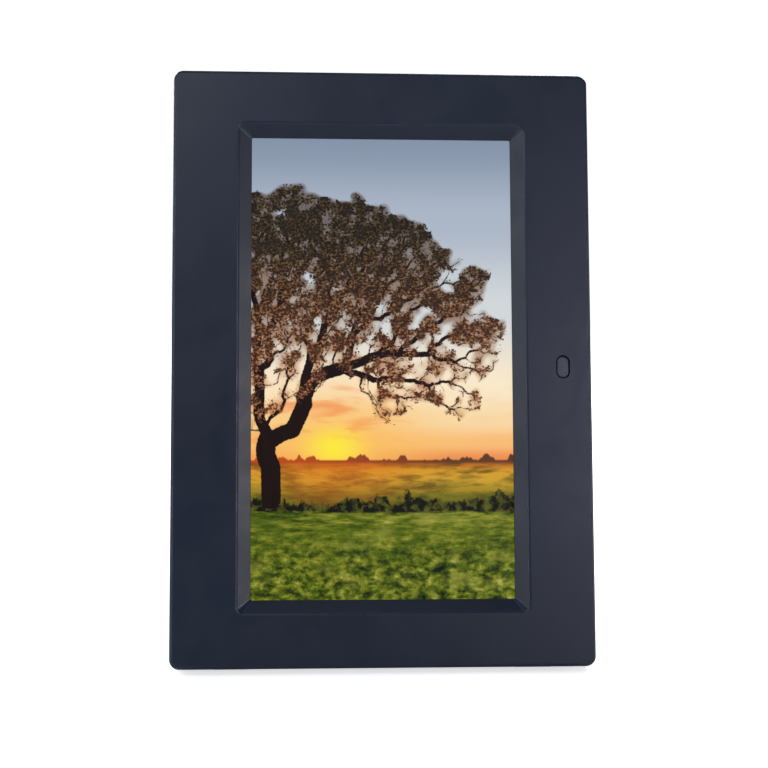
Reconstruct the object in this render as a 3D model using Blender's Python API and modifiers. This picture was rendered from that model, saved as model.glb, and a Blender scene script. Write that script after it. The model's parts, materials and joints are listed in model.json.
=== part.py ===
"""A 7-inch digital photo frame, standing in portrait on a friction-hinged leg behind it.

It is modelled in its own upright axes: x to the right seen from the front, y from the front face
towards the back, z up from the lower edge. An empty then leans the whole assembly back until it
stands on its two feet and its leg. Lengths are metres, angles are radians.
"""

import math

import bmesh
import bpy
from mathutils import Matrix, Vector

# Driving dimensions -----------------------------------------------------------------------------
FRAME_W = 0.1392
FRAME_H = 0.1980
RIM_DEPTH = 0.0120
CORNER_R = 0.0033
EDGE_R = 0.0010
WALL = 0.0022
GAP = 0.0003
MID_Z = FRAME_H / 2

# The picture: a 16:9 panel turned upright, seen through a window with sloped sides.
WINDOW_W = 0.0870
WINDOW_H = 0.1540
SLOPE_W = 0.0043
SLOPE_DEPTH = 0.0035
LIP_BACK = 0.0039
LIP_MARGIN = 0.0080

# The display module, from its outline inwards.
MODULE_W = 0.1000
MODULE_H = 0.1650
STRAP_FRONT = 0.0102
SHEET = 0.0004
LAYER_GAP = 0.0002

# The rear cover: a flat plate with a raised box that holds the electronics.
COVER_INSET = 0.0010
COVER_FRONT = RIM_DEPTH + GAP
PLATE_BACK = COVER_FRONT + WALL
BOX_BACK = 0.0240
BOX_HALF_W = 0.0480
BOX_LOW = 0.0220
BOX_HIGH = 0.1720
BOX_TAPER = 0.0030
BOX_WALL = 0.0020
BOX_CORNER = 0.0080

# The circuit board and what is on its rear face.
BOARD_FRONT = 0.0124
BOARD_T = 0.0016
BOARD_BACK = BOARD_FRONT + BOARD_T
BOARD_HALF_W = 0.0450
BOARD_LOW = 0.0880
BOARD_HIGH = 0.1690
PART_FACE = BOARD_BACK + LAYER_GAP
SOCKET_END = BOX_HIGH - 0.0006
SOCKET_SHELL = 0.0004
COIN_CELL = (-0.0300, 0.1010)
COIN_CELL_R = 0.0062
INDUCTOR = (0.0270, 0.1180)

# Each socket on the board's upper edge: name, x, width, depth from the board, length, look.
SOCKETS = (
    ("sd_card_slot", -0.0260, 0.0280, 0.0032, 0.0285, "socket"),
    ("usb_a_socket", 0.0020, 0.0132, 0.0066, 0.0140, "socket"),
    ("mini_usb_socket", 0.0180, 0.0078, 0.0040, 0.0090, "socket"),
    ("dc_inlet", 0.0340, 0.0090, 0.0074, 0.0120, "chip"),
)

# Each chip: name, x, z, width, height, thickness.
CHIPS = (
    ("processor_chip", -0.0080, 0.1320, 0.0160, 0.0160, 0.0014),
    ("memory_chip", 0.0130, 0.1320, 0.0100, 0.0140, 0.0011),
    ("flash_chip", -0.0300, 0.1270, 0.0120, 0.0190, 0.0011),
)

# The controls, in a column beside the box.
CONTROL_X = -0.0600
BUTTON_COUNT = 5
BUTTON_PITCH = 0.0140
BUTTON_FIRST_Z = 0.0600
BUTTON_W = 0.0070
BUTTON_H = 0.0090
BUTTON_TRAVEL = 0.0006
BUTTON_STAND = 0.0013
KNOB_Z = 0.1380
KNOB_W = 0.0030
KNOB_H = 0.0050
KNOB_TRAVEL = 0.0030
CONTROL_BOARD_FRONT = 0.0055
CONTROL_BOARD_LOW = 0.0500
CONTROL_BOARD_HIGH = 0.1480
SWITCH_BASE = CONTROL_BOARD_FRONT + BOARD_T + LAYER_GAP
SWITCH_TOP = SWITCH_BASE + 0.0032
SWITCH_W = 0.0060
FLANGE_TOP = COVER_FRONT - GAP
FLANGE_T = 0.0006
FLANGE_REACH = 0.0008
PLUNGER_R = 0.0016

# The loudspeakers, and the slots in the box's back for sound and for heat.
SPEAKER_X = 0.0310
SPEAKER_Z = 0.0400
SPEAKER_R = 0.0120
SPEAKER_FACE = BOX_BACK - BOX_WALL - GAP
GRILLE_R = 0.0105
GRILLE_PITCH = 0.0026
GRILLE_SLOTS = 7
GRILLE_SLOT_H = 0.0011
VENT_X = 0.0270
VENT_Z = 0.1400
VENT_PITCH = 0.0036
VENT_SLOTS = 6
VENT_W = 0.0240
VENT_H = 0.0014

# The stand: a disc that turns in the box's back, and a leg hinged on it.
DISC_R = 0.0245
DISC_T = 0.0030
POCKET_FLOOR = 0.0210
DISC_FRONT = POCKET_FLOOR + GAP
DISC_BACK = DISC_FRONT + DISC_T
HUB_R = 0.0070
HINGE_Y = 0.0276
HINGE_Z = MID_Z + 0.0140
KNUCKLE_R = 0.0030
KNUCKLE_HALF_W = 0.0125
EAR_R = 0.0034
EAR_W = 0.0045
PIN_R = 0.00125
LEG_FACE = 0.0250 - HINGE_Y
LEG_BACK = LEG_FACE + 0.0040
LEG_NECK_HALF_W = 0.0120
LEG_TOP_HALF_W = 0.0180
LEG_TOE_HALF_W = 0.0220
LEG_SHOULDER = 0.0120
LEG_TOE_R = 0.0060
LEG_PANEL_W = 0.0260
LEG_PANEL_DEPTH = 0.0010
TONGUE_W = 0.0260
TONGUE_T = 0.0018
TONGUE_H = 0.0060
PAD_T = 0.0055
SWIVEL_ORIGIN = Vector((0, DISC_FRONT, MID_Z))

# How it stands: leaning back, with the leg as far from the vertical on the other side.
LEAN = math.radians(12)
LEG_FROM_VERTICAL = math.radians(12)
FOOT_CLEARANCE = 0.00025
FOOT_X = 0.0500
FOOT_W = 0.0120
FOOT_FRONT = 0.0080
FOOT_BACK = 0.0117
FOOT_SUNK = 0.0006
LIFT = RIM_DEPTH * math.sin(LEAN) + FOOT_CLEARANCE
HINGE_HEIGHT = LIFT - HINGE_Y * math.sin(LEAN) + HINGE_Z * math.cos(LEAN)
LEG_REACH = HINGE_HEIGHT / math.cos(LEG_FROM_VERTICAL)

# The infrared receiver's window in the bezel.
IR_X = 0.0600
IR_Z = 0.0985
IR_W = 0.0042
IR_H = 0.0074

# Fasteners.
CORNER_SCREW_X = 0.0610
CORNER_SCREW_INSET = 0.0090
STRAP_END_X = 0.0565
STRAP_Z = (0.0300, 0.1680)
BOARD_SCREW = (0.0410, 0.1200)
BOSS_R = 0.0030
SCREW_R = 0.0010
SCREW_HOLE_R = 0.0013

# How far a cutter reaches past what it cuts, and how far a joined shape sinks in.
THROUGH = 0.0010
SUNK = 0.0005

ROUND_STEPS = 20
HOLE_STEPS = 10
AXIS_X = Matrix.Rotation(math.pi / 2, 4, "Y")
AXIS_Y = Matrix.Rotation(math.pi / 2, 4, "X")
AXIS_Z = Matrix.Identity(4)

# Turns an outline drawn in XY: into the XZ plane, or into the YZ plane.
XZ_PLANE = Matrix.Rotation(math.pi / 2, 4, "X")
YZ_PLANE = Matrix(((0, 0, 1), (1, 0, 0), (0, 1, 0))).to_4x4()


# Scene and helpers ------------------------------------------------------------------------------
def clear_scene():
    for obj in list(bpy.data.objects):
        bpy.data.objects.remove(obj, do_unlink=True)


def new_collection(name):
    collection = bpy.data.collections.new(name)
    bpy.context.scene.collection.children.link(collection)
    return collection


def material(name, colour, roughness, metallic=0.0):
    made = bpy.data.materials.new(name)
    made.use_nodes = True
    shader = made.node_tree.nodes["Principled BSDF"]
    shader.inputs["Base Color"].default_value = (*colour, 1.0)
    shader.inputs["Roughness"].default_value = roughness
    shader.inputs["Metallic"].default_value = metallic
    made.diffuse_color = (*colour, 1.0)
    return made


def empty(name, location, parent=None, rotation_x=0.0):
    made = bpy.data.objects.new(name, None)
    made.location = location
    made.rotation_euler = (rotation_x, 0.0, 0.0)
    made.parent = parent
    parts.objects.link(made)
    return made


def shape(builder):
    """A mesh from a function that fills a bmesh."""
    bm = bmesh.new()
    builder(bm)
    bmesh.ops.recalc_face_normals(bm, faces=bm.faces)
    mesh = bpy.data.meshes.new("shape")
    bm.to_mesh(mesh)
    bm.free()
    return mesh


def add_block(bm, centre, size, corner=0.0, corner_steps=3):
    """A box, with its four edges along Y rounded by corner."""
    made = bmesh.ops.create_cube(bm, size=1.0)
    verts = made["verts"]
    bmesh.ops.scale(bm, vec=size, verts=verts)
    bmesh.ops.translate(bm, vec=centre, verts=verts)
    if corner:
        edges = {edge for vert in verts for edge in vert.link_edges}
        along_y = [
            edge for edge in edges
            if abs((edge.verts[0].co - edge.verts[1].co).y) > size[1] / 2
        ]
        bmesh.ops.bevel(
            bm, geom=along_y, offset=corner, segments=corner_steps, affect="EDGES", profile=0.5
        )


def add_rod(bm, centre, radius, length, turn=AXIS_Y, steps=ROUND_STEPS, end_radius=None):
    """A capped cylinder along Y, or along X with AXIS_X."""
    bmesh.ops.create_cone(
        bm, cap_ends=True, segments=steps, depth=length, radius1=radius,
        radius2=radius if end_radius is None else end_radius,
        matrix=Matrix.Translation(centre) @ turn,
    )


def block_mesh(size, corner=0.0, corner_steps=3):
    return shape(lambda bm: add_block(bm, (0, 0, 0), size, corner, corner_steps))


def rod_mesh(radius, length, turn=AXIS_Y, steps=ROUND_STEPS, end_radius=None):
    return shape(lambda bm: add_rod(bm, (0, 0, 0), radius, length, turn, steps, end_radius))


def flared_mesh(size, corner, flare):
    """A rounded block whose front outline is wider than its back one by flare on every side."""
    mesh = block_mesh(size, corner)
    for vert in mesh.vertices:
        if vert.co.y < 0:
            vert.co.x += math.copysign(flare, vert.co.x)
            vert.co.z += math.copysign(flare, vert.co.z)
    return mesh


def node(name, mesh, centre, look, parent=None):
    """One sub-part of the frame."""
    made = bpy.data.objects.new(name, mesh)
    mesh.name = name
    mesh.materials.clear()
    mesh.materials.append(look)
    made.location = centre
    made.parent = parent or assembly
    parts.objects.link(made)
    return made


def smooth(*objects, angle=35):
    for obj in objects:
        obj.data.shade_smooth()
        obj.data.set_sharp_from_angle(angle=math.radians(angle))


def helper(mesh, centre, parent=None):
    """A solid that is only joined to, or cut from, a sub-part."""
    made = bpy.data.objects.new("helper", mesh)
    made.location = centre
    made.parent = parent or assembly
    made.hide_render = True
    made.display_type = "WIRE"
    helpers.objects.link(made)
    return made


def combine(target, operation, mesh, centre=(0, 0, 0), parent=None):
    modifier = target.modifiers.new(operation.lower(), "BOOLEAN")
    modifier.operation = operation
    modifier.solver = "EXACT"
    modifier.object = helper(mesh, centre, parent)


def cut(target, mesh, centre=(0, 0, 0), parent=None):
    combine(target, "DIFFERENCE", mesh, centre, parent)


def join(target, mesh, centre=(0, 0, 0), parent=None):
    combine(target, "UNION", mesh, centre, parent)


def span(low, high):
    """The middle and the length of a stretch."""
    return (low + high) / 2, high - low


def outline_mesh(loops, thickness, stand):
    """Flat outlines given a thickness, as a mesh turned by the matrix stand. An outline inside
    another is a hole in it."""
    curve = bpy.data.curves.new("outline", "CURVE")
    curve.dimensions = "2D"
    curve.fill_mode = "BOTH"
    curve.extrude = thickness / 2
    for points in loops:
        spline = curve.splines.new("POLY")
        spline.points.add(len(points) - 1)
        for target, (across, along) in zip(spline.points, points):
            target.co = (across, along, 0.0, 1.0)
        spline.use_cyclic_u = True
    drawn = bpy.data.objects.new("outline", curve)
    bpy.context.scene.collection.objects.link(drawn)
    graph = bpy.context.evaluated_depsgraph_get()
    mesh = bpy.data.meshes.new_from_object(drawn.evaluated_get(graph))
    bpy.data.objects.remove(drawn)
    bm = bmesh.new()
    bm.from_mesh(mesh)
    bmesh.ops.remove_doubles(bm, verts=bm.verts, dist=1e-6)
    bmesh.ops.recalc_face_normals(bm, faces=bm.faces)
    bm.to_mesh(mesh)
    bm.free()
    mesh.transform(stand)
    return mesh


def rectangle(width, height):
    return [(x * width / 2, z * height / 2) for x, z in ((-1, -1), (1, -1), (1, 1), (-1, 1))]


def arc(centre, radius, start, end, steps):
    """Points on an arc, from one angle in degrees to another."""
    turns = [math.radians(start + (end - start) * step / steps) for step in range(steps + 1)]
    return [(centre[0] + radius * math.cos(t), centre[1] + radius * math.sin(t)) for t in turns]


def smooth_route(points, steps=4):
    """A Catmull-Rom curve through the points, with steps stretches between each two."""
    ends = [points[0], *points, points[-1]]
    route = []
    for before, start, end, after in zip(ends, ends[1:], ends[2:], ends[3:]):
        b, s, e, a = (Vector(p) for p in (before, start, end, after))
        for step in range(steps):
            t = step / steps
            route.append(
                0.5 * (2 * s + (e - b) * t + (2 * b - 5 * s + 4 * e - a) * t ** 2
                       + (3 * s - b - 3 * e + a) * t ** 3)
            )
    return [*route, Vector(points[-1])]


def wire(name, points, radius, look):
    """A round lead along a smooth route."""
    route = smooth_route(points)
    curve = bpy.data.curves.new(name, "CURVE")
    curve.dimensions = "3D"
    curve.bevel_depth = radius
    curve.bevel_resolution = 1
    curve.use_fill_caps = True
    spline = curve.splines.new("POLY")
    spline.points.add(len(route) - 1)
    for target, place in zip(spline.points, route):
        target.co = (*place, 1.0)
    curve.materials.append(look)
    made = bpy.data.objects.new(name, curve)
    made.parent = assembly
    parts.objects.link(made)
    return made


def ribbon(name, centre_x, width, profile, look):
    """A flat flexible cable: a folded line in the YZ plane, widened along X."""
    curve = bpy.data.curves.new(name, "CURVE")
    curve.dimensions = "2D"
    curve.fill_mode = "NONE"
    curve.extrude = width / 2
    spline = curve.splines.new("POLY")
    spline.points.add(len(profile) - 1)
    for target, (depth, height) in zip(spline.points, profile):
        target.co = (depth, height, 0.0, 1.0)
    curve.materials.append(look)
    made = bpy.data.objects.new(name, curve)
    made.matrix_local = YZ_PLANE
    made.location.x = centre_x
    made.parent = assembly
    parts.objects.link(made)
    skin = made.modifiers.new("thickness", "SOLIDIFY")
    skin.thickness = 0.0003
    skin.offset = 0.0
    return made


# The front --------------------------------------------------------------------------------------
def corner_screw_places():
    heights = (CORNER_SCREW_INSET, FRAME_H - CORNER_SCREW_INSET)
    return [(side * CORNER_SCREW_X, z) for z in heights for side in (-1, 1)]


def strap_places(*sides):
    return [(side * STRAP_END_X, z) for z in STRAP_Z for side in sides]


def control_screw_places():
    return [(CONTROL_X, CONTROL_BOARD_LOW + 0.004), (CONTROL_X, CONTROL_BOARD_HIGH - 0.003)]


def rods_along_y(places, radius, low, high, steps=12):
    """Equal rods at several places, as one mesh."""
    mid, length = span(low, high)

    def fill(bm):
        for x, z in places:
            add_rod(bm, (x, mid, z), radius, length, steps=steps)

    return shape(fill)


def bezel_mesh():
    """The moulding's outer block, with rounded corners and a rounded front edge."""

    def fill(bm):
        add_block(bm, (0, RIM_DEPTH / 2, MID_Z), (FRAME_W, RIM_DEPTH, FRAME_H), CORNER_R, 4)
        front = [edge for edge in bm.edges if all(vert.co.y < 1e-6 for vert in edge.verts)]
        bmesh.ops.bevel(bm, geom=front, offset=EDGE_R, segments=3, affect="EDGES", profile=0.5)

    return shape(fill)


def make_bezel():
    bezel = node("front_bezel", bezel_mesh(), (0, 0, 0), looks["bezel"])
    cavity_y, cavity_depth = span(WALL, RIM_DEPTH + 0.002)
    cut(
        bezel,
        block_mesh((FRAME_W - 2 * WALL, cavity_depth, FRAME_H - 2 * WALL), 0.0015, 2),
        (0, cavity_y, MID_Z),
    )
    lip_y, lip_depth = span(WALL - 0.0004, LIP_BACK)
    lip_size = (WINDOW_W + 2 * LIP_MARGIN, lip_depth, WINDOW_H + 2 * LIP_MARGIN)
    join(bezel, block_mesh(lip_size), (0, lip_y, MID_Z))
    slope_y, slope_depth = span(-THROUGH, SLOPE_DEPTH)
    flare = SLOPE_W * slope_depth / SLOPE_DEPTH
    cut(bezel, flared_mesh((WINDOW_W, slope_depth, WINDOW_H), 0.0008, flare), (0, slope_y, MID_Z))
    through_y, through_depth = span(SLOPE_DEPTH - SUNK, LIP_BACK + THROUGH)
    cut(bezel, block_mesh((WINDOW_W, through_depth, WINDOW_H), 0.0008), (0, through_y, MID_Z))
    cut(bezel, pill_mesh(IR_W + 0.0004, IR_H + 0.0004, 2 * WALL), (IR_X, WALL, IR_Z))
    base = WALL - 0.0004
    join(bezel, rods_along_y(corner_screw_places(), BOSS_R, base, RIM_DEPTH - 0.0001))
    join(bezel, rods_along_y(strap_places(-1, 1), BOSS_R, base, STRAP_FRONT - GAP))
    join(bezel, rods_along_y(strap_places(-1), SCREW_R, STRAP_FRONT - THROUGH, STRAP_FRONT + 0.0012))
    join(bezel, rods_along_y(control_screw_places(), BOSS_R, base, CONTROL_BOARD_FRONT - GAP))
    hole_low = WALL + 0.0010
    drilled = corner_screw_places() + strap_places(1)
    cut(bezel, rods_along_y(drilled, SCREW_HOLE_R, hole_low, RIM_DEPTH + THROUGH, HOLE_STEPS))
    foot_mid, foot_depth = span(FOOT_FRONT - 0.0002, FOOT_BACK + 0.0002)
    for side in (-1, 1):
        pocket = block_mesh((FOOT_W + 0.0004, foot_depth, 2 * FOOT_SUNK))
        cut(bezel, pocket, (side * FOOT_X, foot_mid, 0.0))
    smooth(bezel)


def pill_mesh(width, height, depth):
    """An upright slot with round ends, thick along Y."""
    radius = width / 2
    rise = height / 2 - radius
    points = arc((0, rise), radius, 0, 180, 8) + arc((0, -rise), radius, 180, 360, 8)
    return outline_mesh([points], depth, XZ_PLANE)


def make_ir_parts():
    window_y, window_depth = span(0.0002, WALL)
    node("ir_window", pill_mesh(IR_W, IR_H, window_depth), (IR_X, window_y, IR_Z), looks["ir"])
    receiver = node(
        "ir_receiver", block_mesh((0.0060, 0.0042, 0.0070), 0.0008),
        (IR_X, WALL + GAP + 0.0021, IR_Z), looks["chip"],
    )
    dome_y = WALL + GAP + 0.0040
    join(receiver, block_mesh((0.0045, 0.0010, 0.0060)), (IR_X, dome_y, IR_Z))
    wire(
        "ir_lead",
        [(IR_X, 0.0080, IR_Z), (IR_X, 0.0100, 0.1040), (0.0560, 0.0112, 0.1090),
         (0.0500, 0.0114, 0.1110), (0.0430, 0.0114, 0.1110)],
        0.0006, looks["wire"],
    )


def make_feet():
    """Rubber pads in pockets under the rim, cut flat to the surface the frame stands on."""
    top = FOOT_SUNK - LAYER_GAP

    def floor_at(depth):
        return (depth * math.sin(LEAN) - LIFT) / math.cos(LEAN)

    profile = [
        (FOOT_FRONT, top), (FOOT_FRONT, floor_at(FOOT_FRONT)),
        (FOOT_BACK, floor_at(FOOT_BACK)), (FOOT_BACK, top),
    ]
    for side, name in ((-1, "left_foot"), (1, "right_foot")):
        node(name, outline_mesh([profile], FOOT_W, YZ_PLANE), (side * FOOT_X, 0, 0), looks["rubber"])


# The display ------------------------------------------------------------------------------------
def frame_mesh(outer, inner, depth):
    """A flat rectangular ring, thick along Y: the outline of outer with inner cut out."""
    return block_mesh((outer[0], depth, outer[1])), block_mesh((inner[0], 2 * depth, inner[1]))


def make_display():
    gasket_y, gasket_t = span(LIP_BACK + LAYER_GAP, LIP_BACK + 3 * LAYER_GAP)
    ring, hole = frame_mesh(
        (MODULE_W - 0.001, MODULE_H - 0.001), (WINDOW_W + 0.005, WINDOW_H + 0.003), gasket_t
    )
    gasket = node("lcd_gasket", ring, (0, gasket_y, MID_Z), looks["foam"])
    cut(gasket, hole, (0, gasket_y, MID_Z))

    rim_front = LIP_BACK + 4 * LAYER_GAP
    glass_front = rim_front + SHEET + LAYER_GAP
    glass_back = glass_front + 0.0013
    diffuser_front = glass_back + LAYER_GAP
    diffuser_back = diffuser_front + 0.0003
    guide_front = diffuser_back + LAYER_GAP
    guide_back = guide_front + 0.0020
    tray_front = guide_back + LAYER_GAP
    tray_back = STRAP_FRONT - GAP

    rim_y, rim_depth = span(rim_front, tray_back)
    rim = node("lcd_metal_frame", block_mesh((MODULE_W, rim_depth, MODULE_H), 0.001, 2),
               (0, rim_y, MID_Z), looks["steel"])
    inside_y, inside_depth = span(rim_front + SHEET, tray_back + THROUGH)
    inside = (MODULE_W - 2 * SHEET, inside_depth, MODULE_H - 2 * SHEET)
    cut(rim, block_mesh(inside), (0, inside_y, MID_Z))
    cut(rim, block_mesh((WINDOW_W + 0.0010, 0.002, WINDOW_H + 0.0010)), (0, rim_front, MID_Z))

    room = 2 * (SHEET + LAYER_GAP)
    sheets = (
        ("lcd_glass", glass_front, glass_back, room, looks["glass"]),
        ("backlight_diffuser", diffuser_front, diffuser_back, room + 0.002, looks["film"]),
        ("backlight_tray", tray_front, tray_back, room, looks["steel"]),
    )
    for name, low, high, inset, look in sheets:
        mid, thick = span(low, high)
        node(name, block_mesh((MODULE_W - inset, thick, MODULE_H - inset)), (0, mid, MID_Z), look)
    strip_room = 0.0030
    guide_y, guide_t = span(guide_front, guide_back)
    guide_h = MODULE_H - room - strip_room
    node("backlight_guide", block_mesh((MODULE_W - room - 0.002, guide_t, guide_h)),
         (0, guide_y, MID_Z + strip_room / 2), looks["film"])
    strip_z = MID_Z - (MODULE_H - room) / 2 + 0.0012
    strip = node("backlight_led_strip", block_mesh((0.0860, guide_t - 0.0002, 0.0010)),
                 (0, guide_y, strip_z), looks["board"])

    def lamps(bm):
        for step in range(9):
            place = ((step - 4) * 0.0095, guide_y, strip_z + 0.0007)
            add_block(bm, place, (0.0035, 0.0012, 0.0008))

    join(strip, shape(lamps))

    strap_y, strap_t = span(STRAP_FRONT, STRAP_FRONT + 0.0008)
    for name, z in zip(("lower", "upper"), STRAP_Z):
        strap_size = (2 * STRAP_END_X + 0.008, strap_t, 0.008)
        strap = node("lcd_strap_" + name, block_mesh(strap_size, 0.002), (0, strap_y, z),
                     looks["steel"])
        holes = [(side * STRAP_END_X, z) for side in (-1, 1)]
        cut(strap, rods_along_y(holes, SCREW_HOLE_R, STRAP_FRONT - THROUGH, strap_y + THROUGH, HOLE_STEPS))
        screw("lcd_strap_screw_" + name, STRAP_END_X, z, STRAP_FRONT + strap_t + LAYER_GAP,
              0.0040, 1)

    flex_z = MID_Z - MODULE_H / 2 - 0.0005
    flex_y = STRAP_FRONT + strap_t + LAYER_GAP + 0.0002
    ribbon("lcd_ribbon", 0.0, 0.0300,
           [(0.0062, flex_z), (flex_y - 0.0008, flex_z), (flex_y, flex_z + 0.0008), (flex_y, 0.0940)],
           looks["ribbon"])


def screw(name, x, z, seat, length, direction, parent=None, head_r=0.0020, head_t=0.0008):
    """A pan-head screw along Y. Its head stands on seat and its shank runs to the front, or to
    the back when direction is -1. A cross is sunk into the head."""
    top = head_t * direction
    made = node(name, rod_mesh(head_r, head_t, steps=16), (x, seat + top / 2, z),
                looks["screw"], parent)
    overlap = 0.0002 * direction
    shank_y, shank = span(*sorted((seat - length * direction, seat + overlap)))
    join(made, rod_mesh(SCREW_R, shank, steps=10), (x, shank_y, z), parent)
    arm = (head_r * 1.3, head_t, head_r * 0.3)
    for size in (arm, arm[::-1]):
        cut(made, block_mesh(size), (x, seat + top, z), parent)
    return made


# The electronics --------------------------------------------------------------------------------
def make_board():
    board_z, board_h = span(BOARD_LOW, BOARD_HIGH)
    board_y = BOARD_FRONT + BOARD_T / 2
    board = node("main_board", block_mesh((2 * BOARD_HALF_W, BOARD_T, board_h), 0.005),
                 (0, board_y, board_z), looks["board"])
    places = [(side * BOARD_SCREW[0], BOARD_SCREW[1]) for side in (-1, 1)]
    cut(board, rods_along_y(places, SCREW_HOLE_R, BOARD_FRONT - THROUGH, BOARD_BACK + THROUGH, HOLE_STEPS))
    for name, (x, z) in zip(("left", "right"), places):
        screw("board_screw_" + name, x, z, BOARD_FRONT - LAYER_GAP, 0.0050, -1)

    for name, x, z, width, height, thick in CHIPS:
        node(name, block_mesh((width, thick, height), 0.0005, 1),
             (x, PART_FACE + thick / 2, z), looks["chip"])
    make_inductor(*INDUCTOR)
    make_coin_cell(*COIN_CELL)


def make_inductor(x, z):
    """A round coil on a square base."""
    base_t, coil_t = 0.0012, 0.0036
    coil = node("power_inductor", block_mesh((0.0080, base_t, 0.0080), 0.0012, 2),
                (x, PART_FACE + base_t / 2, z), looks["chip"])
    join(coil, rod_mesh(0.0034, coil_t), (x, PART_FACE + base_t - 0.0004 + coil_t / 2, z))


def make_coin_cell(x, z):
    """The clock's cell, in a holder with a round well."""
    holder_t, floor_t, cell_t = 0.0040, 0.0010, 0.0020
    holder = node("coin_cell_holder", block_mesh((0.0180, holder_t, 0.0180), 0.0030),
                  (x, PART_FACE + holder_t / 2, z), looks["chip"])
    well_y, well = span(PART_FACE + floor_t, PART_FACE + holder_t + THROUGH)
    cut(holder, rod_mesh(COIN_CELL_R + 0.0004, well, steps=24), (x, well_y, z))
    cell_y = PART_FACE + floor_t + 0.0004 + cell_t / 2
    node("coin_cell", rod_mesh(COIN_CELL_R, cell_t, steps=24), (x, cell_y, z), looks["steel"])


def make_sockets():
    for name, x, width, depth, length, look in SOCKETS:
        y = PART_FACE + depth / 2
        body = node(name, block_mesh((width, depth, length)), (x, y, SOCKET_END - length / 2),
                    looks[look])
        if name == "dc_inlet":
            cut(body, rod_mesh(0.0029, 0.0200, AXIS_Z, 24), (x, y, SOCKET_END))
            join(body, rod_mesh(0.0008, 0.0095, AXIS_Z, 10), (x, y, SOCKET_END - 0.0055))
            continue
        mouth = (width - 2 * SOCKET_SHELL, depth - 2 * SOCKET_SHELL, 1.6 * length)
        cut(body, block_mesh(mouth), (x, y, SOCKET_END))
        if name == "sd_card_slot":
            continue
        tongue = (width * 0.75, depth * 0.22, length * 0.65)
        join(body, block_mesh(tongue), (x, y, SOCKET_END - length * 0.575))


def speaker(name, x, z, face):
    """A small round loudspeaker, its mouth at face."""
    flange_t, basket_t, magnet_t = 0.0012, 0.0024, 0.0016
    made = node(name, rod_mesh(SPEAKER_R, flange_t, steps=24), (x, face - flange_t / 2, z),
                looks["chip"])
    basket_y = face - flange_t - basket_t / 2 + 0.0002
    join(made, rod_mesh(0.0110, basket_t, steps=24, end_radius=0.0070), (x, basket_y, z))
    magnet_y = basket_y - basket_t / 2 - magnet_t / 2 + 0.0002
    join(made, rod_mesh(0.0065, magnet_t, steps=24), (x, magnet_y, z))
    cut(made, rod_mesh(0.0100, 0.0020, steps=24, end_radius=0.0040), (x, face - 0.0008, z))
    smooth(made)


def make_speakers():
    for side, name in ((-1, "left"), (1, "right")):
        speaker("speaker_" + name, side * SPEAKER_X, SPEAKER_Z, SPEAKER_FACE)
        start = side * (SPEAKER_X - 0.0060)
        wire(
            "speaker_lead_" + name,
            [(start, 0.0155, SPEAKER_Z + 0.0010), (start, 0.0150, SPEAKER_Z + 0.0080),
             (start, 0.0150, 0.0600), (side * 0.0200, 0.0148, 0.0780), (side * 0.0170, 0.0150, 0.0910)],
            0.0006, looks["wire"],
        )


# The controls -----------------------------------------------------------------------------------
def button_heights():
    return [BUTTON_FIRST_Z + BUTTON_PITCH * step for step in range(BUTTON_COUNT)]


def make_controls():
    board_z, board_h = span(CONTROL_BOARD_LOW, CONTROL_BOARD_HIGH)
    board = node("button_board", block_mesh((0.0115, BOARD_T, board_h), 0.001),
                 (CONTROL_X, CONTROL_BOARD_FRONT + BOARD_T / 2, board_z), looks["board"])
    cut(board, rods_along_y(control_screw_places(), SCREW_HOLE_R,
                            CONTROL_BOARD_FRONT - THROUGH, SWITCH_BASE + THROUGH, HOLE_STEPS))
    wire(
        "button_lead",
        [(-0.0560, 0.0080, 0.1260), (-0.0535, 0.0100, 0.1280), (-0.0510, 0.0113, 0.1300),
         (-0.0440, 0.0113, 0.1310)],
        0.0007, looks["wire"],
    )
    for number, z in enumerate(button_heights(), 1):
        make_button(number, z)
    make_power_switch()


def make_button(number, z):
    """A sprung switch on the board, and the cap that pushes its plunger through the cover."""
    body_y, body_t = span(SWITCH_BASE, SWITCH_TOP)
    switch = node(f"tact_switch_{number}", block_mesh((SWITCH_W, body_t, SWITCH_W), 0.0004, 1),
                  (CONTROL_X, body_y, z), looks["chip"])
    cut(switch, rod_mesh(0.0020, 0.0030, steps=12), (CONTROL_X, SWITCH_TOP, z))

    flange_y, flange_t = span(FLANGE_TOP - FLANGE_T, FLANGE_TOP)
    cap_y, cap_depth = span(FLANGE_TOP - FLANGE_T, PLATE_BACK + BUTTON_STAND)
    cap = node(f"button_{number}", block_mesh((BUTTON_W, cap_depth, BUTTON_H), 0.0012, 3),
               (CONTROL_X, cap_y, z), looks["button"])
    flange = (BUTTON_W + 2 * FLANGE_REACH, flange_t, BUTTON_H + 2 * FLANGE_REACH)
    join(cap, block_mesh(flange, 0.0012, 2), (CONTROL_X, flange_y, z))
    plunger_y, plunger = span(SWITCH_TOP - 0.0006, FLANGE_TOP - FLANGE_T + 0.0003)
    join(cap, rod_mesh(PLUNGER_R, plunger, steps=12), (CONTROL_X, plunger_y, z))


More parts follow.
